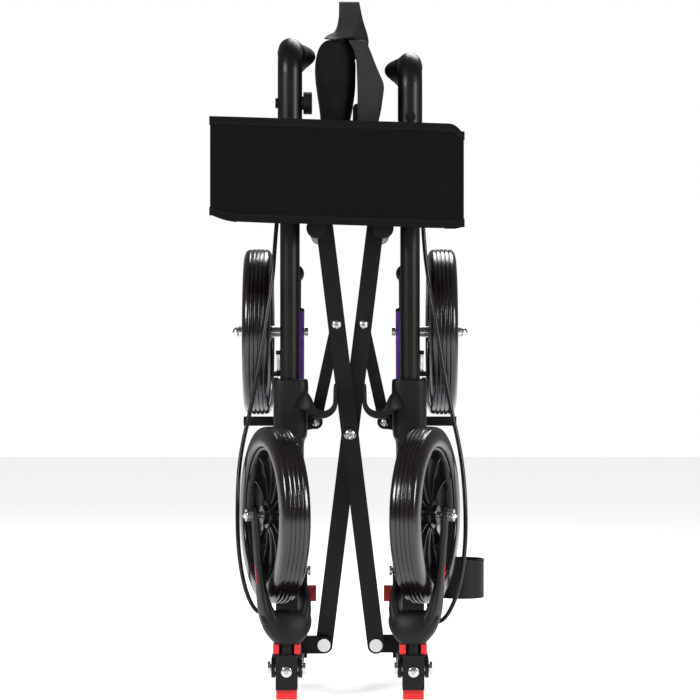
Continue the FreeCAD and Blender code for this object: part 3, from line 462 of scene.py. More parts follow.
def set_fixings(name, head, places, material, body):
    """Set copies of one head at places, each (position, facing, radius)."""
    mesh = bpy.data.meshes.new(name)
    mesh.from_pydata([place for place, facing, radius in places], [], [])
    facings = mesh.attributes.new("facing", "FLOAT_VECTOR", "POINT")
    facings.data.foreach_set("vector", [c for place, facing, radius in places for c in facing])
    radii = mesh.attributes.new("head_radius", "FLOAT", "POINT")
    radii.data.foreach_set("value", [radius for place, facing, radius in places])
    holder = bpy.data.objects.new(name, mesh)
    scene.collection.objects.link(holder)
    tree = bpy.data.node_groups.new(name + "_tree", "GeometryNodeTree")
    tree.interface.new_socket("Points", in_out="INPUT", socket_type="NodeSocketGeometry")
    head_socket = tree.interface.new_socket("Head", in_out="INPUT", socket_type="NodeSocketObject")
    tree.interface.new_socket("Heads", in_out="OUTPUT", socket_type="NodeSocketGeometry")
    inside, outside = tree.nodes.new("NodeGroupInput"), tree.nodes.new("NodeGroupOutput")
    info = tree.nodes.new("GeometryNodeObjectInfo")
    way = tree.nodes.new("GeometryNodeInputNamedAttribute")
    way.data_type = "FLOAT_VECTOR"
    way.inputs["Name"].default_value = "facing"
    wide = tree.nodes.new("GeometryNodeInputNamedAttribute")
    wide.data_type = "FLOAT"
    wide.inputs["Name"].default_value = "head_radius"
    turn = tree.nodes.new("FunctionNodeAlignRotationToVector")
    turn.axis = "Y"
    setter = tree.nodes.new("GeometryNodeInstanceOnPoints")
    real = tree.nodes.new("GeometryNodeRealizeInstances")
    paint = tree.nodes.new("GeometryNodeSetMaterial")
    paint.inputs["Material"].default_value = material
    wire(tree, (inside.outputs["Head"], info.inputs["Object"]),
         (inside.outputs["Points"], setter.inputs["Points"]),
         (info.outputs["Geometry"], setter.inputs["Instance"]),
         (way.outputs["Attribute"], turn.inputs["Vector"]),
         (turn.outputs["Rotation"], setter.inputs["Rotation"]),
         (wide.outputs["Attribute"], setter.inputs["Scale"]),
         (setter.outputs["Instances"], real.inputs["Geometry"]),
         (real.outputs["Geometry"], paint.inputs["Geometry"]),
         (paint.outputs["Geometry"], outside.inputs["Heads"]))
    modifier = holder.modifiers.new("heads", "NODES")
    modifier.node_group = tree
    modifier[head_socket.identifier] = head
    made = as_mesh(holder)
    for attribute in ("facing", "head_radius"):
        if attribute in made.attributes:
            made.attributes.remove(made.attributes[attribute])
    piece = bpy.data.objects.new(name, made)
    scene.collection.objects.link(piece)
    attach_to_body(piece, body)
    return piece


dome_head = head_object("dome_head", [(0.0, 0.78), (0.10, 0.78), (0.16, 0.55), (0.24, 0.62), (0.5, 0.6),
                                      (0.8, 0.42), (0.96, 0.16), (1.0, 0.0), (0.0, 0.0)])
flat_head = head_object("flat_head", [(0.0, 0.30), (0.2, 0.30), (0.24, 0.20), (0.34, 0.34), (0.88, 0.30),
                                      (1.0, 0.18), (1.0, 0.0), (0.0, 0.0)])
acorn_head = head_object("acorn_head", [(0.0, 1.9), (0.3, 1.84), (0.55, 1.6), (0.7, 1.2), (0.74, 0.8),
                                        (1.0, 0.72), (1.0, 0.0), (0.0, 0.0)])
FRONT, BACK = (0, -1, 0), (0, 1, 0)
LINK_BOLT = (0.0156, 0.415)
CENTRE_HEIGHT, NUT_OUT = 0.288, 0.0258
LINK_FOOT = (0.0404, 0.301)
set_fixings("brace_bolts_a", dome_head, [((0, -0.0199, CENTRE_HEIGHT), FRONT, 0.0074),
                                         ((-LINK_BOLT[0], -0.0160, LINK_BOLT[1]), FRONT, 0.0062)],
            steel, "brace_a")
set_fixings("brace_bolts_b", dome_head, [((LINK_BOLT[0], -0.0020, LINK_BOLT[1]), FRONT, 0.0062),
                                         ((0, 0.0139, CENTRE_HEIGHT), BACK, 0.0074)],
            steel, "brace_b")
for side, sign in SIDES:
    low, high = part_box("caster_box_" + side)
    box_front, box_middle = low.y, (low.z + 0.049) / 2 + 0.001
    set_fixings("caster_screw_" + side, flat_head, [((sign * 0.07, box_front, box_middle), FRONT, 0.0062)],
                steel, "caster_box_" + side)
    set_fixings("sleeve_bolt_" + side, dome_head,
                [((sign * LINK_FOOT[0], 0.0118, LINK_FOOT[1]), FRONT, 0.0050)], steel,
                "frame_" + side)
    axis = wheel_places["front", side].to_3x3() @ Vector((0, 1, 0))
    axis = axis * (1 if axis.x * sign > 0 else -1)
    axle_centre = wheel_places["front", side].translation
    set_fixings("front_axle_nut_" + side, acorn_head,
                [(axle_centre + axis * NUT_OUT, axis, 0.0058),
                 (axle_centre - axis * NUT_OUT, -axis, 0.0058)],
                steel, "fork_" + side)

for head in (dome_head, flat_head, acorn_head):
    bpy.data.objects.remove(head)

# ---- Brake springs ----
# Bright zinc return springs on the inner cable, between the leg's stop and the brake arm.

SPRING_RADIUS, SPRING_WIRE, SPRING_TURNS = 0.0040, 0.00062, 9
bright_wire = coated("bright_spring_wire", (0.78, 0.78, 0.80), 0.18, 900, 0.08, metal=1.0, patch=0.08)


def wire_mesh(name, points, radius, order=3, around=4, fine=6):
    """A round wire whose line is a smooth NURBS through the given route."""
    curve = bpy.data.curves.new(name, "CURVE")
    curve.dimensions = "3D"
    spline = curve.splines.new("NURBS")
    spline.points.add(len(points) - 1)
    for place, point in zip(spline.points, points):
        place.co = (*point, 1)
    spline.order_u = order
    spline.use_endpoint_u = True
    curve.resolution_u = fine
    curve.bevel_depth, curve.bevel_resolution, curve.use_fill_caps = radius, around, True
    holder = bpy.data.objects.new(name, curve)
    scene.collection.objects.link(holder)
    mesh = as_mesh(holder)
    work = bmesh.new()
    work.from_mesh(mesh)
    bmesh.ops.remove_doubles(work, verts=work.verts, dist=1e-6)
    bmesh.ops.recalc_face_normals(work, faces=work.faces)
    work.to_mesh(mesh)
    work.free()
    return mesh


for side, sign in SIDES:
    low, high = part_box("brake_spring_" + side)
    foot = Vector(((low.x + high.x) / 2, low.y + 0.0042, low.z + 0.0006))
    head = Vector(((low.x + high.x) / 2, high.y - 0.0042, high.z - 0.0006))
    way = (head - foot).normalized()
    across = Vector((1, 0, 0))
    other = way.cross(across)
    route = []
    for step in range(SPRING_TURNS * 10 + 1):
        angle = 2 * math.pi * step / 10
        share = step / (SPRING_TURNS * 10)
        rise = min(1.0, max(0.0, (share - 0.06) / 0.88))
        route.append(foot.lerp(head, rise) + across * (SPRING_RADIUS * math.cos(angle))
                     + other * (SPRING_RADIUS * math.sin(angle)))
    coil = finished("spring_coil_" + side, wire_mesh("coil", route, SPRING_WIRE), bright_wire)
    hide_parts("brake_spring_" + side)
    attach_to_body(coil, "rear_leg_" + side)

# ---- Brake cables ----
# Black vinyl-covered cables, from the grommet in each upright, down in front of the side frame and
# up behind it to the stop on the rear leg.

cable_vinyl = coated("cable_vinyl", (0.006, 0.006, 0.0065), 0.3, 700, 0.12, coat=0.2)
CABLE_ROUTES = {
    "left": ((84.5, 4, 545), (87.5, 5, 512), (90, 3, 470), (97, -9, 422), (105, -17, 370), (115, -23, 316),
             (127.5, -30, 262), (129.5, -45, 206), (128, -50, 152), (120, -41, 106), (107, -20, 79),
             (95, 6, 82), (91, 32, 104), (90, 52, 150), (89.5, 62, 200), (89.3, 70, 250), (89.3, 77, 300),
             (88.5, 88, 352)),
    "right": ((84.5, 4, 545), (86, 5, 512), (91, 3, 470), (99, -9, 422), (107, -17, 370), (117, -23, 316),
              (129, -30, 262), (133, -45, 206), (132, -50, 152), (124, -41, 104), (110, -22, 73),
              (98, 3, 67), (93, 30, 78), (91, 52, 112), (90, 61, 158), (89.5, 65, 206), (89.3, 71, 254),
              (89.3, 78, 302), (88.5, 88, 352))}
CABLE_RADIUS, WIRE_RADIUS = 0.0025, 0.0007
for side, sign in SIDES:
    route = [Vector((sign * x, y, z)) * MM for x, y, z in CABLE_ROUTES[side]]
    cable = finished("cable_cover_" + side, wire_mesh("cable", route, CABLE_RADIUS, fine=10), cable_vinyl)
    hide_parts("brake_cable_" + side)
    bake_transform(cable)

# ---- Seat ----
# Two padded halves of black woven polyester over foam, each sewn round a seat rail and folded up
# together at the middle. A pad swells between its piped edges and pulls in at its corners.


def woven(name, colour, thread, depth, roughness, sheen):
    """Plain-weave cloth on object coordinates, with slubs, uneven dye and a soft sheen."""
    material = bpy.data.materials.new(name)
    material.use_nodes = True
    tree = material.node_tree
    shader = tree.nodes["Principled BSDF"]
    place = tree.nodes.new("ShaderNodeTexCoord")
    waves = []
    for direction in ("X", "Y", "Z"):
        wave = tree.nodes.new("ShaderNodeTexWave")
        wave.bands_direction = direction
        wave.inputs["Scale"].default_value = thread
        wave.inputs["Distortion"].default_value = 0.6
        wave.inputs["Detail Scale"].default_value = 3
        tree.links.new(place.outputs["Object"], wave.inputs["Vector"])
        waves.append(wave)
    first = tree.nodes.new("ShaderNodeMath")
    first.operation = "MULTIPLY"
    tree.links.new(waves[0].outputs["Fac"], first.inputs[0])
    tree.links.new(waves[2].outputs["Fac"], first.inputs[1])
    second = tree.nodes.new("ShaderNodeMath")
    second.operation = "ADD"
    tree.links.new(first.outputs["Value"], second.inputs[0])
    tree.links.new(waves[1].outputs["Fac"], second.inputs[1])
    slubs = tree.nodes.new("ShaderNodeTexNoise")
    slubs.inputs["Scale"].default_value = 60
    slubs.inputs["Detail"].default_value = 6
    tree.links.new(place.outputs["Object"], slubs.inputs["Vector"])
    dye = tree.nodes.new("ShaderNodeValToRGB")
    dye.color_ramp.elements[0].position, dye.color_ramp.elements[1].position = 0.3, 0.75
    dye.color_ramp.elements[0].color = (*[c * 0.7 for c in colour], 1)
    dye.color_ramp.elements[1].color = (*[c * 1.35 for c in colour], 1)
    tree.links.new(slubs.outputs["Fac"], dye.inputs["Fac"])
    tree.links.new(dye.outputs["Color"], shader.inputs["Base Color"])
    bump = tree.nodes.new("ShaderNodeBump")
    bump.inputs["Strength"].default_value = depth
    bump.inputs["Distance"].default_value = 0.0003
    tree.links.new(second.outputs["Value"], bump.inputs["Height"])
    tree.links.new(bump.outputs["Normal"], shader.inputs["Normal"])
    shader.inputs["Roughness"].default_value = roughness
    shader.inputs["Specular IOR Level"].default_value = 0.1
    shader.inputs["Sheen Weight"].default_value = sheen
    shader.inputs["Sheen Roughness"].default_value = 0.5
    return material


seat_cloth = woven("seat_polyester", (0.0036, 0.0036, 0.004), 260, 0.5, 0.75, 0.015)
LEFT_RAIL, RIGHT_RAIL = Vector((-0.0383, 0, 0.5259)), Vector((0.0383, 0, 0.5259))
SEAT_FOLD = Vector((-0.009, 0, 0.7237))
SEAT_FRONT, SEAT_BACK = -0.029, 0.189
PAD_PROFILES = {
    "left": ((0.012, -0.002, 0.002), (0.030, -0.0022, 0.006), (0.055, -0.005, 0.009),
             (0.095, -0.012, 0.0115),
             (0.128, -0.0165, 0.0150), (0.150, -0.0180, 0.0210), (0.170, -0.0185, 0.0275),
             (0.190, -0.0180, 0.0325),
             (0.206, -0.014, 0.0325), (0.2155, -0.007, 0.0275), (0.2195, 0.000, 0.0215)),
    "right": ((0.012, -0.002, 0.002), (0.030, -0.0022, 0.006), (0.055, -0.0024, 0.011),
              (0.085, -0.0025, 0.0165),
              (0.110, -0.0025, 0.0205), (0.130, -0.0025, 0.0225), (0.142, -0.0022, 0.0185),
              (0.148, -0.001, 0.008))}
for side, sign in SIDES:
    rail = LEFT_RAIL if side == "left" else RIGHT_RAIL
    way = (SEAT_FOLD - rail).normalized()
    outward = Vector((way.z, 0, -way.x)) * sign
    profile = PAD_PROFILES[side]
    work = bmesh.new()
    rings = []
    LAYERS = 34
    for layer in range(LAYERS + 1):
        share = layer / LAYERS
        along = SEAT_FRONT + (SEAT_BACK - SEAT_FRONT) * share
        edge = min(share, 1 - share) * (SEAT_BACK - SEAT_FRONT)
        puff = 1 - max(0.0, 1 - edge / 0.016) ** 2.2
        crown = 0.9 + 0.1 * math.sin(math.pi * share)
        ring = []
        for distance, inner, outer in profile:
            middle = (inner + outer) * 0.3
            ring.append(rail + way * distance + outward * (middle + (outer * crown - middle) * puff)
                        + Vector((0, along, 0)))
        for distance, inner, outer in reversed(profile):
            middle = (inner + outer) * 0.3
            ring.append(rail + way * distance + outward * (middle + (inner - middle) * puff)
                        + Vector((0, along, 0)))
        rings.append(ring)
    skin_rings(work, rings)
    pad_mesh = smoothed(work, 2, "pad")
    pad = finished("seat_pad_" + side, pad_mesh, seat_cloth)
    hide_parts("seat_" + side)
    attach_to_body(pad, "seat_" + side)
    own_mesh(pad)


# ---- Fold cover and lifting strap ----
# A loose cloth cover bridges the two pads at the fold. Ribbed webbing is sewn down its front edge,
# and rises from the fold in the loop that pulls the seat up.


def cloth_mesh(name, rows, thick, levels=1):
    """A sheet through rows of points, given its thickness, with its own lie (across, along) as UVs."""
    mesh = bpy.data.meshes.new(name)
    wide = len(rows[0])
    verts = [point for row in rows for point in row]
    faces = [(r * wide + c, r * wide + c + 1, (r + 1) * wide + c + 1, (r + 1) * wide + c)
             for r in range(len(rows) - 1) for c in range(wide - 1)]
    mesh.from_pydata(verts, [], faces)
    along = [0.0]
    for before, after in zip(rows, rows[1:]):
        along.append(along[-1] + (after[wide // 2] - before[wide // 2]).length)
    across = [0.0]
    for before, after in zip(rows[0], rows[0][1:]):
        across.append(across[-1] + (after - before).length)
    layer = mesh.uv_layers.new(name="lie")
    for polygon in mesh.polygons:
        for loop in polygon.loop_indices:
            index = mesh.loops[loop].vertex_index
            layer.data[loop].uv = (across[index % wide], along[index // wide])
    holder = bpy.data.objects.new(name, mesh)
    scene.collection.objects.link(holder)
    wall = holder.modifiers.new("wall", "SOLIDIFY")
    wall.thickness, wall.offset = thick, 0
    if levels:
        rounder = holder.modifiers.new("round", "SUBSURF")
        rounder.levels = rounder.render_levels = levels
    result = as_mesh(holder)
    work = bmesh.new()
    work.from_mesh(result)
    bmesh.ops.recalc_face_normals(work, faces=work.faces)
    work.to_mesh(result)
    work.free()
    return result, along[-1]


def smooth_line(points, count):
    """Points along a soft curve drawn from a few given ones."""
    curve = bpy.data.curves.new("line", "CURVE")
    curve.dimensions = "3D"
    spline = curve.splines.new("NURBS")
    spline.points.add(len(points) - 1)
    for place, point in zip(spline.points, points):
        place.co = (*point, 1)
    spline.order_u = 3
    spline.use_endpoint_u = True
    curve.resolution_u = 16
    holder = bpy.data.objects.new("line", curve)
    scene.collection.objects.link(holder)
    mesh = as_mesh(holder)
    line = [vertex.co.copy() for vertex in mesh.vertices]
    lengths = [0.0]
    for before, after in zip(line, line[1:]):
        lengths.append(lengths[-1] + (after - before).length)
    result, place = [], 0
    for step in range(count):
        target = lengths[-1] * step / (count - 1)
        while place < len(line) - 2 and lengths[place + 1] < target:
            place += 1
        span = max(1e-9, lengths[place + 1] - lengths[place])
        result.append(line[place].lerp(line[place + 1], min(1, (target - lengths[place]) / span)))
    return result


def webbing(name, colour, pitch):
    """Ribbed nylon webbing: raised cross ribs along the tape and a finer warp across them, with painted
    shade between the ribs and painted highlight on their crests.
    """
    material = bpy.data.materials.new(name)
    material.use_nodes = True
    tree = material.node_tree
    shader = tree.nodes["Principled BSDF"]
    lie = tree.nodes.new("ShaderNodeUVMap")
    lie.uv_map = "lie"
    ribs = tree.nodes.new("ShaderNodeTexWave")
    ribs.bands_direction = "Y"
    ribs.inputs["Scale"].default_value = 2 * math.pi / (20 * pitch)
    ribs.inputs["Distortion"].default_value = 0.5
    warp = tree.nodes.new("ShaderNodeTexWave")
    warp.bands_direction = "X"
    warp.inputs["Scale"].default_value = 2 * math.pi / (20 * 0.0011)
    both = tree.nodes.new("ShaderNodeMath")
    both.operation = "MULTIPLY_ADD"
    both.inputs[1].default_value = 0.35
    # The base colour follows the rib height: painted shade in the hollows between ribs and painted
    # highlight on the rib crests.
    tone = tree.nodes.new("ShaderNodeValToRGB")
    tone.color_ramp.elements[0].color = (*[c * 0.45 for c in colour], 1)
    tone.color_ramp.elements[1].color = (*[c * 1.4 for c in colour], 1)
    bump = tree.nodes.new("ShaderNodeBump")
    bump.inputs["Strength"].default_value = 0.7
    bump.inputs["Distance"].default_value = 0.0006
    for wave in (ribs, warp):
        tree.links.new(lie.outputs["UV"], wave.inputs["Vector"])
    tree.links.new(warp.outputs["Fac"], both.inputs[0])
    tree.links.new(ribs.outputs["Fac"], both.inputs[2])
    tree.links.new(ribs.outputs["Fac"], tone.inputs["Fac"])
    tree.links.new(tone.outputs["Color"], shader.inputs["Base Color"])
    tree.links.new(both.outputs["Value"], bump.inputs["Height"])
    tree.links.new(bump.outputs["Normal"], shader.inputs["Normal"])
    shader.inputs["Roughness"].default_value = 0.6
    shader.inputs["Specular IOR Level"].default_value = 0.25
    shader.inputs["Sheen Weight"].default_value = 0.06
    return material


strap_webbing = webbing("strap_webbing", (0.016, 0.016, 0.018), 0.0017)
cover_line = smooth_line([(-0.024, 0, 0.7435), (-0.010, 0, 0.7462), (0.006, 0, 0.7460), (0.0190, 0, 0.738),
                          (0.0300, 0, 0.712), (0.0380, 0, 0.6950), (0.0390, 0, 0.6890), (0.0375, 0, 0.682),
                          (0.0318, 0, 0.655), (0.0265, 0, 0.630)], 40)
cover_rows = [[Vector((point.x, SEAT_FRONT + (SEAT_BACK - SEAT_FRONT) * step / 24,
                       point.z + 0.0012 * math.sin(step * 1.1 + point.x * 90)))
               for step in range(25)] for point in cover_line]
cover_mesh, cover_length = cloth_mesh("cover", cover_rows, 0.0018)
cover = finished("seat_fold_cover", cover_mesh, seat_cloth)
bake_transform(cover)

inner_line = smooth_line([(-0.0025, 0, 0.7425), (0.0045, 0, 0.734), (0.0070, 0, 0.722), (0.0080, 0, 0.700),
                          (0.0085, 0, 0.675), (0.0085, 0, 0.650), (0.0110, 0, 0.620)], 40)
outer_line = smooth_line([(0.0185, 0, 0.7425), (0.0235, 0, 0.731), (0.0315, 0, 0.710), (0.0388, 0, 0.6945),
                          (0.0397, 0, 0.6895), (0.0382, 0, 0.683), (0.0325, 0, 0.655),
                          (0.0285, 0, 0.625)], 40)
tape_rows = []
for inner, outer in zip(inner_line, outer_line):
    row = []
    for step in range(9):
        share = step / 8
        point = inner.lerp(outer, share)
        row.append(Vector((point.x, -0.0310 - 0.0035 * math.sin(math.pi * share) ** 0.7
                           + 0.004 * max(0, share - 0.75), point.z)))
    tape_rows.append(row)
tape_mesh = cloth_mesh("tape", tape_rows, 0.0016)[0]
tape = finished("seat_front_webbing", tape_mesh, strap_webbing)
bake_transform(tape)

loop_line = smooth_line([(-0.0185, -0.022, 0.7445), (-0.0150, -0.004, 0.7480), (-0.0050, 0.0150, 0.7570),
                         (-0.0010, 0.0215, 0.775), (-0.0010, 0.0225, 0.790), (-0.0010, 0.0260, 0.7945),
                         (-0.0008, 0.0360, 0.7948), (0.0000, 0.0480, 0.793), (0.0030, 0.0530, 0.780),
                         (0.0100, 0.0545, 0.765), (0.0110, 0.0530, 0.748), (0.0080, 0.0520, 0.744)], 56)
loop_rows = []
for index, point in enumerate(loop_line):
    share = index / (len(loop_line) - 1)
    twist = 0.25 * math.exp(-((share - 0.12) / 0.12) ** 2) + 0.35 * math.exp(-((share - 0.85) / 0.12) ** 2)
    loop_rows.append([point + Vector((math.cos(twist) * (step / 8 - 0.5) * 0.0242, 0,
                                      -math.sin(twist) * (step / 8 - 0.5) * 0.0242)) for step in range(9)])
loop_mesh = cloth_mesh("loop", loop_rows, 0.0018)[0]
strap_loop = finished("lifting_loop", loop_mesh, strap_webbing)
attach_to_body(strap_loop, "seat_left")

# ---- Backrest band ----
# A wide band of black neoprene-backed cloth, folded back at both ends to the uprights, with a bound
# edge and a row of stitches inside it. It is cut as one strip and joined on the panel's middle line.

band_cloth = woven("band_cloth", (0.0024, 0.0022, 0.0026), 330, 0.35, 0.85, 0.008)
binding_cloth = woven("band_binding", (0.0030, 0.0028, 0.0034), 420, 0.4, 0.75, 0.015)
thread_black = coated("black_thread", (0.012, 0.012, 0.014), 0.5, 1500, 0.3, patch=0.3)
BAND_LEFT, BAND_HEIGHT, BAND_FOOT = -0.16, 0.119, 0.534
BAND_TILT = math.tan(math.radians(1.8))
BAND_JOIN, FOLD_RADIUS, PANEL_PLACE = -0.015, 0.0017, -0.0485
BAND_ENDS = {"left": (-0.1575, -0.059), "right": (0.1275, 0.059)}


def band_line(side):
    """The band's line in plan from its anchor, round the fold, to the middle of the panel."""
    fold, anchor = BAND_ENDS[side]
    outward = -1 if side == "left" else 1
    line = []
    start, end = Vector((anchor, -0.0215, 0)), Vector((fold, PANEL_PLACE + 2 * FOLD_RADIUS, 0))
    for step in range(16):
        line.append(start.lerp(end, 1 - (1 - step / 16) ** 1.3))
    for step in range(9):
        angle = math.pi * step / 8
        line.append(Vector((fold + outward * FOLD_RADIUS * 1.2 * math.sin(angle),
                            PANEL_PLACE + FOLD_RADIUS + FOLD_RADIUS * math.cos(angle), 0)))
    for step in range(1, 25):
        share = (step / 24) ** 1.25
        line.append(Vector((fold + (BAND_JOIN - fold) * share,
                            PANEL_PLACE - 0.0009 * math.sin(math.pi * share), 0)))
    return line


def band_edges(side, place):
    """Heights of the band's lower and upper edge at a place across."""
    fold = BAND_ENDS[side][0]
    near = max(0.0, place - fold if side == "left" else fold - place)
    foot = BAND_FOOT - (place - BAND_LEFT) * BAND_TILT
    top = foot + BAND_HEIGHT
    if side == "left":
        foot += 0.0065 * max(0.0, 1 - near / 0.030) ** 2
    else:
        top -= 0.0085 * max(0.0, 1 - near / 0.014) ** 2.2
        foot += 0.002 * max(0.0, 1 - near / 0.010) ** 2
    return foot, top


def band_rows(side, low_share, high_share, steps, proud, first=0):
    """Rows of points over a part of the band's height, set proud of its middle line."""
    line = band_line(side)
    rows = []
    for index in range(first, len(line)):
        before, after = line[max(0, index - 1)], line[min(len(line) - 1, index + 1)]
        way = (after - before).normalized()
        outward = Vector((way.y, -way.x, 0)) * (1 if side == "left" else -1)
        foot, top = band_edges(side, line[index].x)
        if isinstance(low_share, tuple):
            base = foot if low_share[0] == "foot" else top
            low, high = base + low_share[1], base + high_share[1]
        else:
            low, high = foot + (top - foot) * low_share, foot + (top - foot) * high_share
        rows.append([line[index] + outward * proud + Vector((0, 0, low + (high - low) * step / steps))
                     for step in range(steps + 1)])
    return rows


def stitch_row(name, line, attach):
    """Short thread stitches set along a line by resampling it at the stitch pitch."""
    mesh = bpy.data.meshes.new(name)
    mesh.from_pydata(line, [(index, index + 1) for index in range(len(line) - 1)], [])
    holder = bpy.data.objects.new(name, mesh)
    scene.collection.objects.link(holder)
    tree = bpy.data.node_groups.new(name + "_tree", "GeometryNodeTree")
    tree.interface.new_socket("Line", in_out="INPUT", socket_type="NodeSocketGeometry")
    pitch = tree.interface.new_socket("Pitch", in_out="INPUT", socket_type="NodeSocketFloat")
    tree.interface.new_socket("Stitches", in_out="OUTPUT", socket_type="NodeSocketGeometry")
    inside, outside = tree.nodes.new("NodeGroupInput"), tree.nodes.new("NodeGroupOutput")
    curve = tree.nodes.new("GeometryNodeMeshToCurve")
    even = tree.nodes.new("GeometryNodeResampleCurve")
    even.mode = "LENGTH"
    tangent = tree.nodes.new("GeometryNodeInputTangent")
    turn = tree.nodes.new("FunctionNodeAlignRotationToVector")
    turn.axis = "X"
    thread = tree.nodes.new("GeometryNodeMeshIcoSphere")
    thread.inputs["Radius"].default_value = 0.001
    thread.inputs["Subdivisions"].default_value = 1
    shape = tree.nodes.new("GeometryNodeTransform")
    shape.inputs["Scale"].default_value = (1.25, 0.34, 0.34)
    setter = tree.nodes.new("GeometryNodeInstanceOnPoints")
    real = tree.nodes.new("GeometryNodeRealizeInstances")
    paint = tree.nodes.new("GeometryNodeSetMaterial")
    paint.inputs["Material"].default_value = thread_black
    wire(tree, (inside.outputs["Line"], curve.inputs["Mesh"]),
         (curve.outputs["Curve"], even.inputs["Curve"]),
         (inside.outputs["Pitch"], even.inputs["Length"]),
         (even.outputs["Curve"], setter.inputs["Points"]),
         (tangent.outputs["Tangent"], turn.inputs["Vector"]),
         (turn.outputs["Rotation"], setter.inputs["Rotation"]),
         (thread.outputs["Mesh"], shape.inputs["Geometry"]),
         (shape.outputs["Geometry"], setter.inputs["Instance"]),
         (setter.outputs["Instances"], real.inputs["Geometry"]),
         (real.outputs["Geometry"], paint.inputs["Geometry"]),
         (paint.outputs["Geometry"], outside.inputs["Stitches"]))
    modifier = holder.modifiers.new("stitches", "NODES")
    modifier.node_group = tree
    modifier[pitch.identifier] = 0.0034
    made = as_mesh(holder)
    piece = bpy.data.objects.new(name, made)
    scene.collection.objects.link(piece)
    attach(piece)
    return piece


for side, sign in SIDES:
    def follow_band(piece):
        if side == "left":
            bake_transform(piece)
        else:
            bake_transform(piece)

    sheet_mesh, sheet_length = cloth_mesh("band", band_rows(side, 0, 1, 12, 0), 0.0022, 0)
    band = finished("backrest_band_" + side, sheet_mesh, band_cloth)
    sheet_mesh.set_sharp_from_angle(angle=math.radians(60))
    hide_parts("band_return_" + side, *(["band_panel"] if side == "left" else []))
    follow_band(band)
    edging = []
    for edge, near, far in (("foot", -0.0006, 0.0092), ("top", -0.0092, 0.0006)):
        hem_rows = band_rows(side, (edge, near), (edge, far), 4, 0.00145, 10)
        hem_mesh = cloth_mesh("hem", hem_rows, 0.0011, 0)[0]
        hem = finished("band_%s_binding_%s" % (edge, side), hem_mesh, binding_cloth)
        hem_mesh.set_sharp_from_angle(angle=math.radians(60))
        follow_band(hem)
        rows = band_rows(side, (edge, near), (edge, far), 4, 0.0022, 24)
        line = [row[1 if edge == "top" else 3] for row in rows]
        edging += [hem, stitch_row("band_%s_stitches_%s" % (edge, side), line, follow_band)]

# ---- Sleeves and rail hooks ----
# One glass-filled nylon moulding on each side clamps the black upright to the purple tube, with a neck
# round the tube below it. An arm runs inwards to the J-shaped hook for the seat rail, beside a lug for
# the guide link.

LUG_MIDDLE_Y = 0.0198
COLLAR_RINGS = ((0.2660, 0.0150, 0.0150, 0.0700), (0.2668, 0.0162, 0.0162, 0.0700),
                (0.2800, 0.0165, 0.0165, 0.0700),
                (0.2830, 0.0185, 0.0185, 0.0695), (0.2860, 0.0200, 0.0195, 0.0692),
                (0.3200, 0.0204, 0.0200, 0.0690),
                (0.3440, 0.0206, 0.0200, 0.0690), (0.3500, 0.0202, 0.0196, 0.0690),
                (0.3518, 0.0188, 0.0182, 0.0690),
                (0.3520, 0.0150, 0.0150, 0.0695))
HOOK_CENTRE, HOOK_INNER, HOOK_MIDDLE_Y, HOOK_HALF_DEPTH = (0.0307, 0.3265), 0.0112, -0.026, 0.0068


def hook_stations():
    """The hook's middle line (across, height) and half thickness, from the sleeve to its tip."""
    stations = [((0.0600, 0.3300), 0.0120), ((0.0545, 0.3270), 0.0112), ((0.0495, 0.3225), 0.0088)]
    for step in range(13):
        angle = math.radians(-28 - 152 * step / 12)
        half = 0.0062 - 0.0037 * step / 12
        reach = HOOK_INNER + half
        stations.append(((HOOK_CENTRE[0] + reach * math.cos(angle),
                          HOOK_CENTRE[1] + reach * math.sin(angle)), half))
    across = stations[-1][0][0]
    stations += [((across, 0.3340), 0.0024), ((across - 0.0002, 0.3410), 0.0024),
                 ((across - 0.0002, 0.3452), 0.0020),
                 ((across - 0.0002, 0.3468), 0.0010)]
    return stations


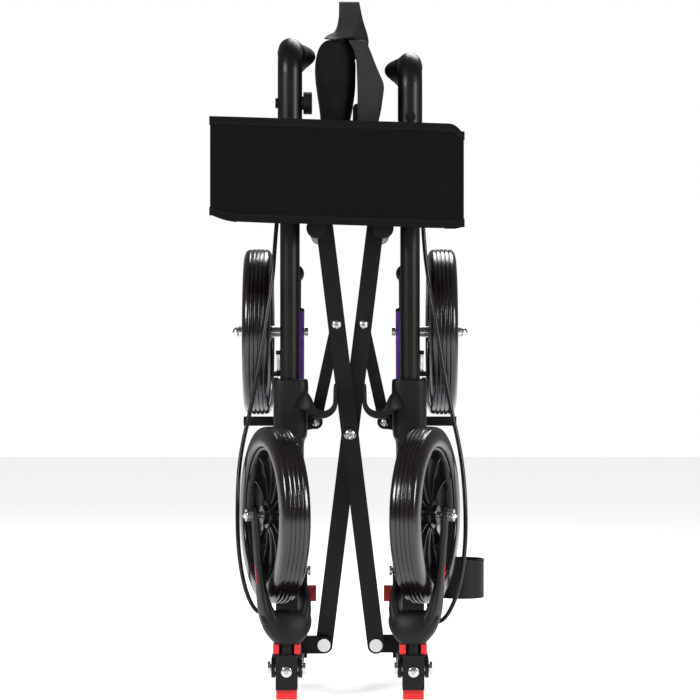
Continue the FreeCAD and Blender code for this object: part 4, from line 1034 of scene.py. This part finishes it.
for side, sign in SIDES:
    work = bmesh.new()
    rings = []
    for height, wide, deep, across in COLLAR_RINGS:
        power = 0.55 if height > 0.281 else 1.0
        ring = []
        for step in range(32):
            a, b = squarish(step, 32, wide, deep, power)
            ring.append(Vector((sign * across + a, b, height)))
        rings.append(ring)
    skin_rings(work, rings)
    rings = []
    stations = hook_stations()
    for index, ((across, height), half) in enumerate(stations):
        before, after = stations[max(0, index - 1)][0], stations[min(len(stations) - 1, index + 1)][0]
        way = Vector((after[0] - before[0], 0, after[1] - before[1])).normalized()
        broad = Vector((way.z, 0, -way.x))
        depth = HOOK_HALF_DEPTH * (0.6 if index == len(stations) - 1 else 1)
        into_sleeve = (0.0125, 0.0065, 0.0015)[index] if index < 3 else 0.0
        ring = []
        for step in range(16):
            a, b = squarish(step, 16, half, depth, 0.6)
            point = Vector((across, HOOK_MIDDLE_Y + into_sleeve + b, height)) + broad * a
            ring.append(Vector((sign * point.x, point.y, point.z)))
        rings.append(ring)
    skin_rings(work, rings)
    bmesh.ops.recalc_face_normals(work, faces=work.faces)
    sleeve_mesh = smoothed(work, 1, "sleeve")
    work = bmesh.new()
    work.from_mesh(sleeve_mesh)
    lug = Matrix.Translation((sign * LINK_FOOT[0], LUG_MIDDLE_Y, LINK_FOOT[1]))
    work.from_mesh(lathe("lug", [(0.0, -0.0020), (0.0078, -0.0020), (0.0085, -0.0012), (0.0085, 0.0012),
                                 (0.0078, 0.0020), (0.0, 0.0020)], 40, lug, closed=False))
    bridge = []
    for across, half in ((0.0404, 0.0084), (0.0450, 0.0088), (0.0500, 0.0098), (0.0560, 0.0105)):
        bridge.append([Vector((sign * across, LUG_MIDDLE_Y + b, LINK_FOOT[1] + a))
                       for a, b in (squarish(step, 12, half, 0.0021, 0.5) for step in range(12))])
    skin_rings(work, bridge)
    bmesh.ops.recalc_face_normals(work, faces=work.faces)
    work.to_mesh(sleeve_mesh)
    work.free()
    sleeve = finished("sleeve_skin_" + side, sleeve_mesh, black_moulding)
    sleeve_mesh.set_sharp_from_angle(angle=math.radians(48))
    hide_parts("sleeve_" + side)
    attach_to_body(sleeve, "frame_" + side)

# ---- Grommets and cable stops ----
# Small rubber grommets where the cables enter the uprights, and a bare bright wire from each stop to
# the brake arm, which the spring surrounds.

for side, sign in SIDES:
    way = Matrix.Translation((sign * 0.0813, 0.004, 0.545)) @ Matrix.Rotation(-sign * math.pi / 2, 4, "Z")
    grommet = finished("cable_grommet_" + side,
                       lathe("grommet", [(0.0, -0.002), (0.0046, -0.002), (0.0050, -0.0012),
                                         (0.0050, 0.0008), (0.0040, 0.0022), (0.0032, 0.0036),
                                         (0.0, 0.0036)], 32, way, closed=False),
                       grip_rubber)
    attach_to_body(grommet, "frame_" + side)
    low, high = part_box("brake_spring_" + side)
    middle = (low.x + high.x) / 2
    wire_route = [Vector((middle + sign * 0.003, 0.0895, 0.353)),
                  Vector((middle + sign * 0.001, 0.0905, 0.357)),
                  Vector((middle, low.y + 0.0044, low.z + 0.002)),
                  Vector((middle, high.y - 0.0042, high.z)),
                  Vector((middle, high.y - 0.001, high.z + 0.006))]
    inner_wire = finished("brake_inner_wire_" + side, wire_mesh("inner_wire", wire_route, WIRE_RADIUS),
                          bright_wire)
    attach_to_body(inner_wire, "rear_leg_" + side)

# ---- Cable stop and spring seat covers ----
# Black nylon caps pressed over the two small tabs that stand out from each rear leg.

for side, sign in SIDES:
    low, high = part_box("brake_spring_" + side)
    for name, middle, near, far, half_y, half_z in (
            ("cable_stop_cap_", low.z - 0.0031, 0.0780, 0.0926, 0.0046, 0.0030),
            ("spring_seat_cap_", high.z + 0.0031, 0.0780, 0.0891, 0.0046, 0.0025)):
        back = low.y + 0.0033 if name.startswith("cable") else high.y - 0.0034
        rings = []
        work = bmesh.new()
        for share, size in ((0.0, 0.96), (0.04, 1.0), (0.96, 1.0), (1.0, 0.93)):
            across = near + (far - near) * share
            rings.append([Vector((sign * across, back + a * size, middle + b * size))
                          for a, b in (squarish(step, 16, half_y, half_z, 0.3) for step in range(16))])
        skin_rings(work, rings)
        mesh = settled(work, name)
        cap = finished(name + side, mesh, black_moulding)
        mesh.set_sharp_from_angle(angle=math.radians(40))
        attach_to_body(cap, "rear_leg_" + side)
